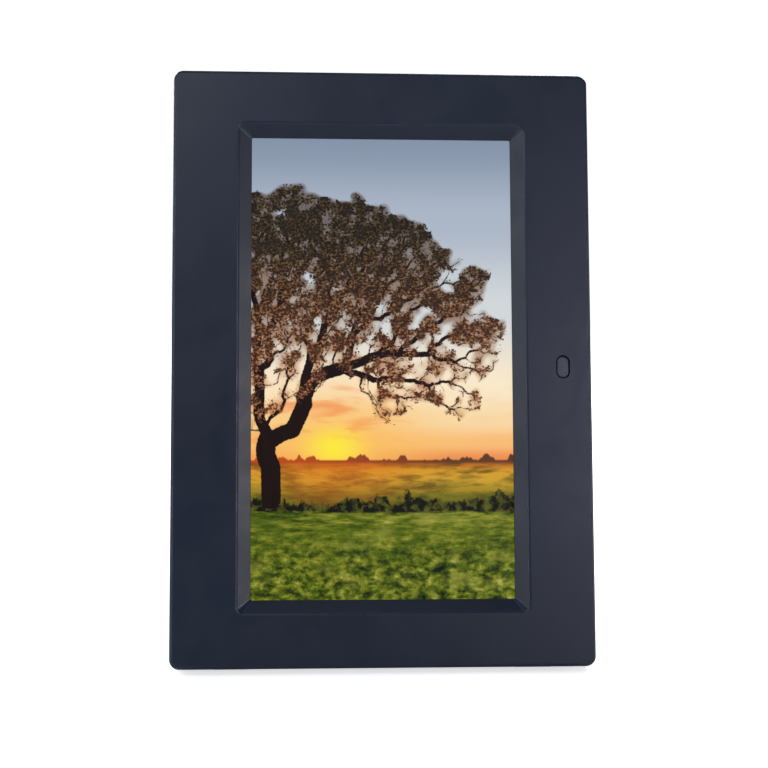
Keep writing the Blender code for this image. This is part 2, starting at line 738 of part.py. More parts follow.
def make_power_switch():
    """A slide switch on the button board, with its knob in a slot of the cover."""
    body_top = SWITCH_BASE + 0.0030
    body_y, body_t = span(SWITCH_BASE, body_top)
    body = node("power_switch_body", block_mesh((0.0060, body_t, 0.0125), 0.0004, 1),
                (CONTROL_X, body_y, KNOB_Z + KNOB_TRAVEL / 2 - 0.0010), looks["steel"])
    cut(body, block_mesh((0.0022, 0.0030, 0.0070)),
        (CONTROL_X, body_top, KNOB_Z + KNOB_TRAVEL / 2))
    knob_y, knob_depth = span(body_top + GAP, PLATE_BACK + 0.0010)
    knob = node("power_switch_knob", block_mesh((KNOB_W, knob_depth, KNOB_H), 0.0004, 2),
                (CONTROL_X, knob_y, KNOB_Z), looks["button"])
    stem_y, stem = span(body_top - 0.0010, body_top + 0.0006)
    join(knob, block_mesh((0.0016, stem, 0.0030)), (CONTROL_X, stem_y, KNOB_Z))


# The rear cover ---------------------------------------------------------------------------------
def control_openings():
    """The holes of the buttons and the slot of the power switch's knob, as one mesh."""
    mid, depth = span(COVER_FRONT - THROUGH, PLATE_BACK + THROUGH)
    play = 0.0004

    def fill(bm):
        for z in button_heights():
            size = (BUTTON_W + play, depth, BUTTON_H + play)
            add_block(bm, (CONTROL_X, mid, z), size, 0.0013, 3)
        slot = (KNOB_W + play, depth, KNOB_H + KNOB_TRAVEL + play)
        add_block(bm, (CONTROL_X, mid, KNOB_Z + KNOB_TRAVEL / 2), slot, 0.0005, 2)

    return shape(fill)


def grille_openings():
    """Slots for sound at the bottom corners and for heat at the top."""
    mid, depth = span(BOX_BACK - BOX_WALL - THROUGH, BOX_BACK + THROUGH)

    def fill(bm):
        for side in (-1, 1):
            for step in range(GRILLE_SLOTS):
                rise = (step - GRILLE_SLOTS // 2) * GRILLE_PITCH
                place = (side * SPEAKER_X, mid, SPEAKER_Z + rise)
                length = 2 * math.sqrt(GRILLE_R ** 2 - rise ** 2)
                add_block(bm, place, (length, depth, GRILLE_SLOT_H), 0.0005, 2)
            for step in range(VENT_SLOTS):
                place = (side * VENT_X, mid, VENT_Z + step * VENT_PITCH)
                add_block(bm, place, (VENT_W, depth, VENT_H), 0.0006, 2)

    return shape(fill)


def socket_openings():
    """Cut-outs for the sockets in the box's upper wall."""
    play = 0.0006

    def fill(bm):
        for _, x, width, depth, _, _ in SOCKETS:
            size = (width + play, depth + play, 0.0120)
            add_block(bm, (x, PART_FACE + depth / 2, BOX_HIGH + 0.0010), size)

    return shape(fill)


def make_cover():
    plate_y, plate_depth = span(COVER_FRONT, PLATE_BACK)
    size = (FRAME_W - 2 * COVER_INSET, plate_depth, FRAME_H - 2 * COVER_INSET)
    cover = node("rear_cover", block_mesh(size, CORNER_R, 4), (0, plate_y, MID_Z), looks["cover"])

    box_z, box_h = span(BOX_LOW, BOX_HIGH)
    box_y, box_depth = span(PLATE_BACK - 0.0004, BOX_BACK)
    outside = (2 * BOX_HALF_W, box_depth, box_h)
    join(cover, flared_mesh(outside, BOX_CORNER, BOX_TAPER), (0, box_y, box_z))
    inside_y, inside_depth = span(COVER_FRONT - THROUGH, BOX_BACK - BOX_WALL)
    inside = (2 * (BOX_HALF_W - BOX_WALL), inside_depth, box_h - 2 * BOX_WALL)
    cut(cover, block_mesh(inside, BOX_CORNER - BOX_WALL), (0, inside_y, box_z))

    tongue_y, tongue_depth = span(COVER_FRONT - 0.0025, COVER_FRONT + 0.0004)
    reach = (FRAME_W - 2 * (WALL + 2 * GAP), FRAME_H - 2 * (WALL + 2 * GAP))
    thick = 0.0012
    wall = [rectangle(*reach), rectangle(reach[0] - 2 * thick, reach[1] - 2 * thick)]
    join(cover, outline_mesh(wall, tongue_depth, XZ_PLANE), (0, tongue_y, MID_Z))

    boss_y, boss_depth = span(POCKET_FLOOR - BOX_WALL, BOX_BACK - BOX_WALL + SUNK)
    join(cover, rod_mesh(DISC_R + 0.0025, boss_depth, steps=40), (0, boss_y, MID_Z))
    pocket_y, pocket_depth = span(POCKET_FLOOR, BOX_BACK + THROUGH)
    cut(cover, rod_mesh(DISC_R + 0.0004, pocket_depth, steps=48), (0, pocket_y, MID_Z))
    cut(cover, rod_mesh(HUB_R + 0.0003, 0.0100, steps=24), (0, POCKET_FLOOR, MID_Z))

    posts = [(side * BOARD_SCREW[0], BOARD_SCREW[1]) for side in (-1, 1)]
    join(cover, rods_along_y(posts, BOSS_R, BOARD_BACK + GAP, BOX_BACK - BOX_WALL + SUNK))
    cut(cover, rods_along_y(posts, SCREW_HOLE_R, BOARD_BACK - THROUGH, 0.0200, HOLE_STEPS))

    corners = corner_screw_places()
    cut(cover, rods_along_y(corners, SCREW_HOLE_R, COVER_FRONT - THROUGH, PLATE_BACK, HOLE_STEPS))
    seat = PLATE_BACK - 0.0014
    cut(cover, rods_along_y(corners, 0.0031, seat, PLATE_BACK + THROUGH, 16))
    cut(cover, control_openings())
    cut(cover, grille_openings())
    cut(cover, socket_openings())
    smooth(cover)
    for number, (x, z) in enumerate(corners, 1):
        screw(f"cover_screw_{number}", x, z, seat + LAYER_GAP, 0.0080, 1, head_r=0.0027,
              head_t=0.0011)


# The stand --------------------------------------------------------------------------------------
def make_disc():
    """The turntable: a disc with a hub through the cover and two ears for the leg's pin."""
    disc_y = (DISC_FRONT + DISC_BACK) / 2
    here = (0, disc_y - SWIVEL_ORIGIN.y, 0)
    disc = node("stand_disc", rod_mesh(DISC_R, DISC_T, steps=48), here, looks["cover"], swivel)
    hub_low = POCKET_FLOOR - BOX_WALL - LAYER_GAP
    hub_y, hub = span(hub_low, DISC_FRONT + SUNK)
    join(disc, rod_mesh(HUB_R, hub, steps=24), (0, hub_y - SWIVEL_ORIGIN.y, 0), swivel)
    ear_rise = HINGE_Z - MID_Z
    ear_x = KNUCKLE_HALF_W + GAP + EAR_W / 2
    for side in (-1, 1):
        base_y, base = span(DISC_BACK - SUNK, HINGE_Y)
        join(disc, block_mesh((EAR_W, base, 2 * EAR_R)),
             (side * ear_x, base_y - SWIVEL_ORIGIN.y, ear_rise), swivel)
        join(disc, rod_mesh(EAR_R, EAR_W, AXIS_X, 20),
             (side * ear_x, HINGE_Y - SWIVEL_ORIGIN.y, ear_rise), swivel)
    bore = 2 * (KNUCKLE_HALF_W + GAP + EAR_W - 0.0010)
    cut(disc, rod_mesh(PIN_R + LAYER_GAP, bore, AXIS_X, 16),
        (0, HINGE_Y - SWIVEL_ORIGIN.y, ear_rise), swivel)
    cut(disc, rod_mesh(SCREW_HOLE_R, 0.0050, steps=HOLE_STEPS), (0, hub_low - SWIVEL_ORIGIN.y, 0), swivel)
    smooth(disc)

    washer_y, washer_t = span(hub_low - GAP - 0.0010, hub_low - GAP)
    washer = node("stand_washer", rod_mesh(0.0110, washer_t, steps=32),
                  (0, washer_y - SWIVEL_ORIGIN.y, 0), looks["steel"], swivel)
    cut(washer, rod_mesh(SCREW_HOLE_R, 0.0030, steps=HOLE_STEPS),
        (0, washer_y - SWIVEL_ORIGIN.y, 0), swivel)
    seat = washer_y - washer_t / 2 - LAYER_GAP - SWIVEL_ORIGIN.y
    screw("stand_screw", 0, 0, seat, 0.0035, -1, swivel, head_r=0.0030, head_t=0.0012)


def leg_outline(length):
    """Half neck, shoulder and flared foot of the leg, mirrored about its centre line."""
    right = [(LEG_NECK_HALF_W, 0.0), (LEG_NECK_HALF_W, -0.0045), (LEG_TOP_HALF_W, -LEG_SHOULDER)]
    right += arc((LEG_TOE_HALF_W - LEG_TOE_R, -length + LEG_TOE_R), LEG_TOE_R, 0, -90, 4)
    left = [(-x, z) for x, z in reversed(right)]
    return right + left


def make_leg():
    """The leg hangs from its hinge axis; its empty turns it out to where it stands."""
    tip = LEG_REACH - PAD_T
    leg_y, leg_t = span(LEG_FACE, LEG_BACK)
    leg = node("stand_leg", outline_mesh([leg_outline(tip)], leg_t, XZ_PLANE), (0, leg_y, 0),
               looks["cover"], hinge)
    join(leg, rod_mesh(KNUCKLE_R, 2 * KNUCKLE_HALF_W, AXIS_X, 20), (0, 0, 0), hinge)
    join(leg, block_mesh((TONGUE_W, TONGUE_T, TONGUE_H)), (0, leg_y, -tip), hinge)
    cut(leg, rod_mesh(PIN_R + LAYER_GAP, 0.0400, AXIS_X, 16), (0, 0, 0), hinge)
    panel_z, panel_h = span(-tip + 0.0080, -LEG_SHOULDER - 0.0060)
    panel = block_mesh((LEG_PANEL_W, 2 * LEG_PANEL_DEPTH, panel_h), 0.0020, 3)
    cut(leg, panel, (0, LEG_BACK, panel_z), hinge)
    smooth(leg)
    pin_half = KNUCKLE_HALF_W + GAP + EAR_W - 0.0010 - LAYER_GAP
    pin = node("leg_hinge_pin", rod_mesh(PIN_R, 2 * pin_half, AXIS_X, 16), (0, 0, 0),
               looks["steel"], hinge)
    smooth(pin)

    def floor_at(depth):
        return -LEG_REACH - depth * math.tan(LEG_FROM_VERTICAL)

    top = -tip - LAYER_GAP
    profile = [(LEG_FACE, top), (LEG_FACE, floor_at(LEG_FACE)),
               (LEG_BACK, floor_at(LEG_BACK)), (LEG_BACK, top)]
    pad_w = 2 * (LEG_TOE_HALF_W - LEG_TOE_R)
    pad = node("leg_toe_pad", outline_mesh([profile], pad_w, YZ_PLANE), (0, 0, 0),
               looks["rubber"], hinge)
    slot = [side + 2 * LAYER_GAP for side in (TONGUE_W, TONGUE_T, TONGUE_H)]
    cut(pad, block_mesh(slot), (0, leg_y, -tip), hinge)


def centre_on_origin():
    """Slides the leaning assembly along Y until its box is centred over the origin."""
    bpy.context.view_layer.update()
    graph = bpy.context.evaluated_depsgraph_get()
    depths = []
    for obj in parts.objects:
        if obj.type == "EMPTY":
            continue
        evaluated = obj.evaluated_get(graph)
        mesh = evaluated.to_mesh()
        depths += [(evaluated.matrix_world @ vert.co).y for vert in mesh.vertices]
        evaluated.to_mesh_clear()
    assembly.location.y -= (min(depths) + max(depths)) / 2


# Assembly ---------------------------------------------------------------------------------------
clear_scene()
parts = new_collection("digital_photo_frame")
helpers = new_collection("cutters")
looks = {
    "bezel": material("bezel_plastic", (0.032, 0.042, 0.056), 0.45),
    "cover": material("cover_plastic", (0.020, 0.022, 0.025), 0.55),
    "button": material("button_plastic", (0.040, 0.043, 0.048), 0.40),
    "ir": material("infrared_window", (0.075, 0.080, 0.120), 0.30),
    "glass": material("screen_glass", (0.30, 0.36, 0.20), 0.08),
    "foam": material("gasket_foam", (0.015, 0.015, 0.015), 0.95),
    "film": material("backlight_film", (0.80, 0.80, 0.80), 0.50),
    "steel": material("sheet_steel", (0.55, 0.56, 0.57), 0.35, 1.0),
    "screw": material("screw_steel", (0.30, 0.30, 0.31), 0.40, 1.0),
    "socket": material("socket_plate", (0.62, 0.62, 0.63), 0.30, 1.0),
    "board": material("circuit_board", (0.020, 0.120, 0.050), 0.50),
    "chip": material("component_black", (0.018, 0.018, 0.020), 0.50),
    "ribbon": material("ribbon_film", (0.45, 0.22, 0.05), 0.45),
    "wire": material("lead_sleeve", (0.25, 0.02, 0.02), 0.50),
    "rubber": material("rubber", (0.020, 0.020, 0.020), 0.90),
}
assembly = empty("assembly", (0, 0, LIFT), rotation_x=-LEAN)
swivel = empty("swivel_axis", SWIVEL_ORIGIN, assembly)
hinge = empty("hinge_axis", Vector((0, HINGE_Y, HINGE_Z)) - SWIVEL_ORIGIN, swivel,
              LEAN + LEG_FROM_VERTICAL)

make_bezel()
make_ir_parts()
make_feet()
make_display()
make_board()
make_sockets()
make_speakers()
make_controls()
make_cover()
make_disc()
make_leg()
centre_on_origin()
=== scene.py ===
"""The looks of the 7-inch digital photo frame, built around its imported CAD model.

Shapes are drawn in the frame's own upright axes, as in the CAD: x to the right seen from the front,
y from the front face towards the back, z up from the lower edge, in metres. FRAME_PLACE then leans
them back as the CAD leans. The leg's shapes are drawn hanging from its hinge axis.
"""

import json
import math

import bmesh
import bpy
import numpy as np
from mathutils import Matrix, Vector


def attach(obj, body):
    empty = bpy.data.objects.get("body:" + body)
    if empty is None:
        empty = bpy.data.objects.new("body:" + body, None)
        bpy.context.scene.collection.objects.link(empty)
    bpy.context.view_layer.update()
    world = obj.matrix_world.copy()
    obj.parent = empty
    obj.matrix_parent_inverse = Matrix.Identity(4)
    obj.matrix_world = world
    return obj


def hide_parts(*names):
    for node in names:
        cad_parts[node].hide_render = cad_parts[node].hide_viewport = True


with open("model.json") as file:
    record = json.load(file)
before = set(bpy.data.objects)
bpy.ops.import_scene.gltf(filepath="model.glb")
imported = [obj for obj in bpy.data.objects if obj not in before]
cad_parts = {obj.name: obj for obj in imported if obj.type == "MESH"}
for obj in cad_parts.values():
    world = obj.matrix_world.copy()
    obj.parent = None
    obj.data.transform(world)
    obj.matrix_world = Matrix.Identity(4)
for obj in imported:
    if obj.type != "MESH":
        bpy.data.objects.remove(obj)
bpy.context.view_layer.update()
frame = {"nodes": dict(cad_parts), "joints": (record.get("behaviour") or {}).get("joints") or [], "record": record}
scene = bpy.context.scene
joints = {joint["name"]: joint for joint in frame["joints"]}
slot_of = {row["node"]: row["material_slot"] for row in frame["record"]["subparts"]}

# Where things are -------------------------------------------------------------------------------
FACING = Vector(joints["stand_swivel"]["axis"])
LEAN = math.asin(FACING.z)
AXES = Matrix.Rotation(-LEAN, 3, "X")
bezel_points = np.array([AXES.transposed() @ v.co for v in frame["nodes"]["front_bezel"].data.vertices])
FRAME_CORNER = Vector((0.0, bezel_points[:, 1].min(), bezel_points[:, 2].min()))
FRAME_PLACE = Matrix.Translation(AXES @ FRAME_CORNER) @ AXES.to_4x4()
LEG_FOLD = -math.radians(joints["leg_hinge"]["range_deg"][0])
LEG_PLACE = Matrix.Translation(joints["leg_hinge"]["pos_m"]) @ Matrix.Rotation(LEG_FOLD - LEAN, 4, "X")


def box_of(node, place=FRAME_PLACE):
    """A CAD node's lowest and highest corners in the frame's upright axes, or in the leg's."""
    back = place.inverted()
    points = np.array([back @ v.co for v in frame["nodes"][node].data.vertices])
    return Vector(points.min(axis=0)), Vector(points.max(axis=0))


def middle(node, place=FRAME_PLACE):
    low, high = box_of(node, place)
    return (low + high) / 2


def xz(point):
    return point.x, point.z


def screw_spots():
    """Where the cover's four screws stand, as (x, z)."""
    return [xz(middle(f"cover_screw_{number}")) for number in range(1, 5)]


BEZEL_HIGH = box_of("front_bezel")[1]
HALF_W = BEZEL_HIGH.x
HALF_H = BEZEL_HIGH.z / 2
MID_Z = HALF_H
RIM_BACK = BEZEL_HIGH.y
CORNER_R = 0.0033
WALL = 0.0022
WINDOW_HALF_W = 0.0435
WINDOW_HALF_H = 0.0770
SLOPE_W = 0.0043
SLOPE_DEPTH = 0.0035
LIP_BACK = 0.0039
PAST = 0.001  # how far a cutter runs past the surface that it leaves
PILOT_R = 0.0013
PILLAR_R = 0.0030

# Limits of the mesh building
INSET = 1e-5
TINY_CORNER = 2e-5
SAME_PLACE = 1e-7
WORN_FACE = 0.0006  # a face wider than this is a flat
LEVEL = 0.003  # radians between faces that make one flat


# Mesh building ----------------------------------------------------------------------------------
def loop(half_w, half_h, depth, corner, centre=(0.0, 0.0), steps=8):
    """A rounded rectangle in the XZ plane, anticlockwise seen from the front."""
    points = []
    for quarter, (side, rise) in enumerate(((1, 1), (-1, 1), (-1, -1), (1, -1))):
        for step in range(steps + 1):
            turn = (quarter + step / steps) * math.pi / 2
            x = side * (half_w - corner) + corner * math.cos(turn)
            z = rise * (half_h - corner) + corner * math.sin(turn)
            points.append(Vector((x + centre[0], depth, z + centre[1])))
    return points


def ring(radius, depth, steps=64, centre=(0.0, 0.0)):
    """A circle in the XZ plane."""
    turns = [2 * math.pi * step / steps for step in range(steps)]
    return [
        Vector((centre[0] + radius * math.cos(t), depth, centre[1] + radius * math.sin(t)))
        for t in turns
    ]


def mesh_of(builder):
    """The mesh that a builder draws into an empty bmesh, with every face turned outwards."""
    bm = bmesh.new()
    builder(bm)
    bmesh.ops.remove_doubles(bm, verts=bm.verts, dist=SAME_PLACE)
    bmesh.ops.recalc_face_normals(bm, faces=bm.faces)
    mesh = bpy.data.meshes.new("shape")
    bm.to_mesh(mesh)
    bm.free()
    return mesh


def loft(bm, loops, closed=False):
    """Joins loops of equally many points. A closed loft is a ring; an open one is capped."""
    rows = [[bm.verts.new(point) for point in points] for points in loops]
    pairs = list(zip(rows, rows[1:]))
    if closed:
        pairs.append((rows[-1], rows[0]))
    for first, second in pairs:
        for here in range(len(first)):
            after = (here + 1) % len(first)
            bm.faces.new((first[here], first[after], second[after], second[here]))
    if not closed:
        bm.faces.new(rows[0])
        bm.faces.new(rows[-1][::-1])


def softened(stations, closed=False, steps=5):
    """Rounds the corners of a profile. A station is (half_w, half_h, depth, corner, radius), and
    the radius rounds the profile there. Gives the loops of a loft as (half_w, half_h, depth,
    corner)."""
    count = len(stations)
    sections = []
    for place, (half_w, half_h, depth, corner, radius) in enumerate(stations):
        ends = not closed and place in (0, count - 1)
        if ends or radius <= 0:
            sections.append((half_w, half_h, depth, corner))
            continue
        here = Vector((half_w, depth))
        before = stations[place - 1]
        after = stations[(place + 1) % count]
        back = (Vector((before[0], before[2])) - here).normalized()
        ahead = (Vector((after[0], after[2])) - here).normalized()
        half_angle = back.angle(ahead) / 2
        reach = radius / math.tan(half_angle)
        centre = here + (back + ahead).normalized() * radius / math.sin(half_angle)
        start = here + back * reach - centre
        sweep = start.angle_signed(here + ahead * reach - centre)
        for step in range(steps + 1):
            turn = Matrix.Rotation(-sweep * step / steps, 2)
            point = centre + turn @ start
            shift = point.x - half_w
            sections.append((half_w + shift, half_h + shift, point.y, max(corner + shift, 2e-4)))
    return sections


def rounded_solid(stations, centre=(0.0, 0.0), closed=False, steps=5, corner_steps=8):
    """A solid, or a closed ring, whose outline is a rounded rectangle at every station."""
    sections = softened(stations, closed, steps)
    loops = [loop(w, h, d, min(c, w, h), centre, corner_steps) for w, h, d, c in sections]
    return mesh_of(lambda bm: loft(bm, loops, closed))


def about(half_w, half_h, *rows):
    """Stations around one outline, from rows of (growth, depth, corner, radius)."""
    return [(half_w + growth, half_h + growth, *rest) for growth, *rest in rows]


def block(centre, half_w, half_h, low, high, corner, edge_front=0.0, edge_back=0.0, corner_steps=6):
    """A block from low to high along y about an (x, z) centre. Corner rounds its edges along y."""
    stations = about(
        half_w, half_h,
        (-edge_front - INSET, low, corner, 0),
        (0, low, corner, edge_front),
        (0, high, corner, edge_back),
        (-edge_back - INSET, high, corner, 0),
    )
    stations = [(w, h, d, max(min(c, w, h), TINY_CORNER), r) for w, h, d, c, r in stations]
    return rounded_solid(stations, centre, corner_steps=corner_steps)


def soft_block(low, high, corner, **edges):
    """A block between two opposite corners."""
    half = (Vector(high) - Vector(low)) / 2
    centre = (Vector(high) + Vector(low)) / 2
    return block(xz(centre), half.x, half.z, low[1], high[1], corner, **edges)


def turned(profile, centre=(0.0, 0.0), steps=64):
    """A solid turned about an axis along y, from (radius, depth) points."""
    return mesh_of(lambda bm: loft(bm, [ring(r, d, steps, centre) for r, d in profile]))


def drum(radius, low, high, centre=(0.0, 0.0), edge=0.0, steps=32):
    """A cylinder along y, with both rims chamfered by edge."""
    profile = [(radius, low), (radius, high)]
    if edge:
        inner = radius - edge
        profile = [(inner, low), (radius, low + edge), (radius, high - edge), (inner, high)]
    return turned(profile, centre, steps)


def along_x(mesh, centre):
    """Turns a mesh made along y about the z axis so that it runs along x, and moves it there."""
    mesh.transform(Matrix.Translation(centre) @ Matrix.Rotation(-math.pi / 2, 4, "Z"))
    return mesh


def merged(*meshes):
    """Several meshes as one, with no joining of their surfaces."""
    bm = bmesh.new()
    for mesh in meshes:
        bm.from_mesh(mesh)
    together = bpy.data.meshes.new("shape")
    bm.to_mesh(together)
    bm.free()
    return together


def boolean(mesh, other, operation):
    """The mesh with the other one cut from it or joined to it."""
    first = bpy.data.objects.new("first", mesh)
    second = bpy.data.objects.new("second", other)
    for obj in (first, second):
        scene.collection.objects.link(obj)
    modifier = first.modifiers.new("boolean", "BOOLEAN")
    modifier.operation = operation
    modifier.solver = "EXACT"
    modifier.object = second
    graph = bpy.context.evaluated_depsgraph_get()
    result = bpy.data.meshes.new_from_object(first.evaluated_get(graph))
    for obj in (first, second):
        bpy.data.objects.remove(obj)
    return result


def cut(mesh, *others):
    for other in others:
        mesh = boolean(mesh, other, "DIFFERENCE")
    return mesh


def join(mesh, *others):
    for other in others:
        mesh = boolean(mesh, other, "UNION")
    return mesh


def extruded(outline, low, high, axis, edge=0.0):
    """An outline made solid from low to high along an axis, with softened rims. The outline is of
    (y, z) points along x, axis 0, and of (x, z) points along y, axis 1."""

    def build(bm):
        ends = []
        for depth in (low, high):
            places = [(depth, a, z) if axis == 0 else (a, depth, z) for a, z in outline]
            ends.append([bm.verts.new(place) for place in places])
        first, second = ends
        bm.faces.new(first)
        bm.faces.new(second[::-1])
        for here in range(len(outline)):
            after = (here + 1) % len(outline)
            bm.faces.new((first[here], second[here], second[after], first[after]))
        bmesh.ops.recalc_face_normals(bm, faces=bm.faces)
        if edge:
            rims = [e for e in bm.edges if abs(e.verts[0].co[axis] - e.verts[1].co[axis]) < SAME_PLACE]
            bmesh.ops.bevel(bm, geom=rims, offset=edge, segments=3, affect="EDGES", profile=0.5)

    return mesh_of(build)


def arc(centre, radius, start, end, steps=8):
    """Points of an arc, from start to end in degrees."""
    turns = [math.radians(start + (end - start) * step / steps) for step in range(steps + 1)]
    return [(centre[0] + radius * math.cos(t), centre[1] + radius * math.sin(t)) for t in turns]


def mark_worn_edges(mesh):
    """Stores 1 on the points of rounded edges and 0 on the flats. A point on a rounded edge
    touches only narrow faces, none of them level with a neighbour."""
    bm = bmesh.new()
    bm.from_mesh(mesh)
    flat = {face for face in bm.faces if 2 * face.calc_area() / face.calc_perimeter() > WORN_FACE}
    for edge in bm.edges:
        if edge.is_manifold and edge.calc_face_angle() < LEVEL:
            flat.update(edge.link_faces)
    worn = [float(flat.isdisjoint(point.link_faces)) for point in bm.verts]
    bm.free()
    layer = mesh.attributes.new("worn", "FLOAT", "POINT")
    layer.data.foreach_set("value", worn)


def piece(name, mesh, look, body, nodes=(), place=FRAME_PLACE, sharp=32, wears=True):
    """A finished piece that rides on a body and stands for CAD nodes."""
    mesh.name = name
    if not mesh.materials:
        mesh.materials.append(look)
    mesh.shade_smooth()
    mesh.set_sharp_from_angle(angle=math.radians(sharp))
    if wears:
        mark_worn_edges(mesh)
    mesh.transform(place)
    made = bpy.data.objects.new(name, mesh)
    scene.collection.objects.link(made)
    weighted = made.modifiers.new("flat_faces_first", "WEIGHTED_NORMAL")
    weighted.keep_sharp = True
    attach(made, body)
    if nodes:
        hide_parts(*nodes)
    return made


# Materials --------------------------------------------------------------------------------------
GRAIN = 1000.0  # texture scales are in features for each millimetre
MIX_FIRST, MIX_SECOND, MIX_RESULT = 6, 7, 2  # a Mix node's colour sockets, which share names


def linear(red, green, blue):
    """A colour given as 0 to 255 screen values, in the renderer's linear values."""

    def channel(value):
        value /= 255
        return value / 12.92 if value <= 0.04045 else ((value + 0.055) / 1.055) ** 2.4

    return (channel(red), channel(green), channel(blue), 1.0)


class Graph:
    """A material's nodes, with a short call for each kind that is used here."""

    def __init__(self, name):
        self.material = bpy.data.materials.new(name)
        self.material.use_nodes = True
        self.nodes = self.material.node_tree.nodes
        self.links = self.material.node_tree.links
        self.shader = self.nodes["Principled BSDF"]
        self.object_place = self.add("ShaderNodeTexCoord").outputs["Object"]
        self.place = self.wired("ShaderNodeMapping", "Vector", {
            "Vector": self.object_place,
            "Location": FRAME_PLACE.translation,
            "Rotation": FRAME_PLACE.to_euler(),
        }, vector_type="TEXTURE")

    def add(self, kind, **settings):
        made = self.nodes.new(kind)
        for key, value in settings.items():
            setattr(made, key, value)
        return made

    def feed(self, socket, value):
        if isinstance(value, bpy.types.NodeSocket):
            self.links.new(value, socket)
        else:
            socket.default_value = value

    def wired(self, kind, output, inputs, **settings):
        """One output of a new node, whose inputs are given by name or number."""
        made = self.add(kind, **settings)
        for socket, value in inputs.items():
            self.feed(made.inputs[socket], value)
        return made.outputs[output]

    def set(self, name, value):
        self.feed(self.shader.inputs[name], value)

    def math(self, operation, first, second=0.0, clamp=False):
        inputs = {0: first, 1: second}
        return self.wired("ShaderNodeMath", 0, inputs, operation=operation, use_clamp=clamp)

    def plus(self, first, second, clamp=False):
        return self.math("ADD", first, second, clamp)

    def minus(self, first, second):
        return self.math("SUBTRACT", first, second)

    def times(self, first, second):
        return self.math("MULTIPLY", first, second)

    def stretched(self, scale):
        """The place in the frame, scaled along each axis."""
        if scale is None:
            return self.place
        return self.wired("ShaderNodeMapping", "Vector", {"Vector": self.place, "Scale": scale})

    def noise(self, scale, detail=2.0, stretch=None, rough=0.5, distortion=0.0):
        inputs = {"Vector": self.stretched(stretch), "Scale": scale, "Detail": detail,
                  "Roughness": rough, "Distortion": distortion}
        return self.wired("ShaderNodeTexNoise", "Fac", inputs)

    def cells(self, scale, stretch=None, feature="F1"):
        inputs = {"Vector": self.stretched(stretch), "Scale": scale}
        return self.wired("ShaderNodeTexVoronoi", "Distance", inputs, feature=feature)

    def span(self, value, low, high, to_low=0.0, to_high=1.0, kind="LINEAR"):
        """The value carried from one range to another, and held at its ends."""
        inputs = {"Value": value, "From Min": low, "From Max": high, "To Min": to_low, "To Max": to_high}
        return self.wired("ShaderNodeMapRange", "Result", inputs, interpolation_type=kind)

    def ease(self, value, low, high, to_low=0.0, to_high=1.0):
        return self.span(value, low, high, to_low, to_high, "SMOOTHSTEP")

    def ramp(self, value, stops):
        made = self.add("ShaderNodeValToRGB")
        made.color_ramp.interpolation = "EASE"
        while len(made.color_ramp.elements) < len(stops):
            made.color_ramp.elements.new(0.5)
        for element, (place, colour) in zip(made.color_ramp.elements, stops):
            element.position = place
            element.color = colour
        self.feed(made.inputs["Fac"], value)
        return made.outputs["Color"]

    def mix(self, factor, first, second, blend="MIX"):
        inputs = {"Factor": factor, MIX_FIRST: first, MIX_SECOND: second}
        return self.wired("ShaderNodeMix", MIX_RESULT, inputs, data_type="RGBA", blend_type=blend)

    def parts(self, vector):
        made = self.add("ShaderNodeSeparateXYZ")
        self.feed(made.inputs[0], vector)
        return made.outputs["X"], made.outputs["Y"], made.outputs["Z"]

    def stored(self, name):
        return self.add("ShaderNodeAttribute", attribute_name=name).outputs["Fac"]

    def finished(self, colour, roughness, height, strength, depth, gloss=0.5):
        """The material, once its shader has a colour, a roughness and fine relief."""
        relief = {"Height": height, "Strength": strength, "Distance": depth}
        self.set("Base Color", colour)
        self.set("Roughness", roughness)
        self.set("Specular IOR Level", gloss)
        self.set("Normal", self.wired("ShaderNodeBump", "Normal", relief))
        return self.material


def tinted(colour, factor):
    return (*(channel * factor for channel in colour[:3]), 1.0)


def moulded_plastic(name, colour, roughness, texture=0.25, sparkle=0.12, gloss=0.5):
    """Injection-moulded plastic: a spark-eroded skin, faint flow marks and handling smears."""
    g = Graph(name)
    flow = g.noise(16.0, 3.0, (1.0, 1.0, 0.45), distortion=0.6)
    grain = g.noise(4.2 * GRAIN, 2.0)
    tone = g.mix(g.span(flow, 0.3, 0.7), tinted(colour, 0.90), tinted(colour, 1.10))
    speck = g.span(grain, 0.35, 0.65, 1.0 - sparkle, 1.0 + sparkle)
    patchy = g.span(g.noise(0.11 * GRAIN, 4.0), 0.42, 0.62, 0.0, 0.55)
    wear = g.times(g.stored("worn"), patchy)
    dust = g.span(g.noise(0.5 * GRAIN, 5.0, rough=0.7), 0.66, 0.80, 0.0, 0.25)
    tone = g.mix(g.plus(wear, dust, clamp=True), tone, tinted(colour, 2.1))
    smear = g.noise(42.0, 5.0, rough=0.6, distortion=1.2)
    matt = g.plus(g.span(smear, 0.3, 0.7, roughness - 0.05, roughness + 0.06),
                  g.span(grain, 0.3, 0.7, -0.03, 0.03))
    pits = g.times(g.cells(3.0 * GRAIN), 0.6)
    return g.finished(g.mix(1.0, tone, speck, "MULTIPLY"), g.minus(matt, g.times(wear, 0.14)),
                      g.plus(grain, pits), texture, 0.00004, gloss)


def rubber(name, colour, roughness=0.8):
    """A matt elastomer with a little dust."""
    g = Graph(name)
    dust = g.noise(0.9 * GRAIN, 4.0, rough=0.65)
    return g.finished(g.mix(g.span(dust, 0.5, 0.75), colour, tinted(colour, 2.2)),
                      g.span(dust, 0.3, 0.8, roughness - 0.08, roughness + 0.1),
                      g.noise(2.5 * GRAIN, 3.0), 0.35, 0.00006)


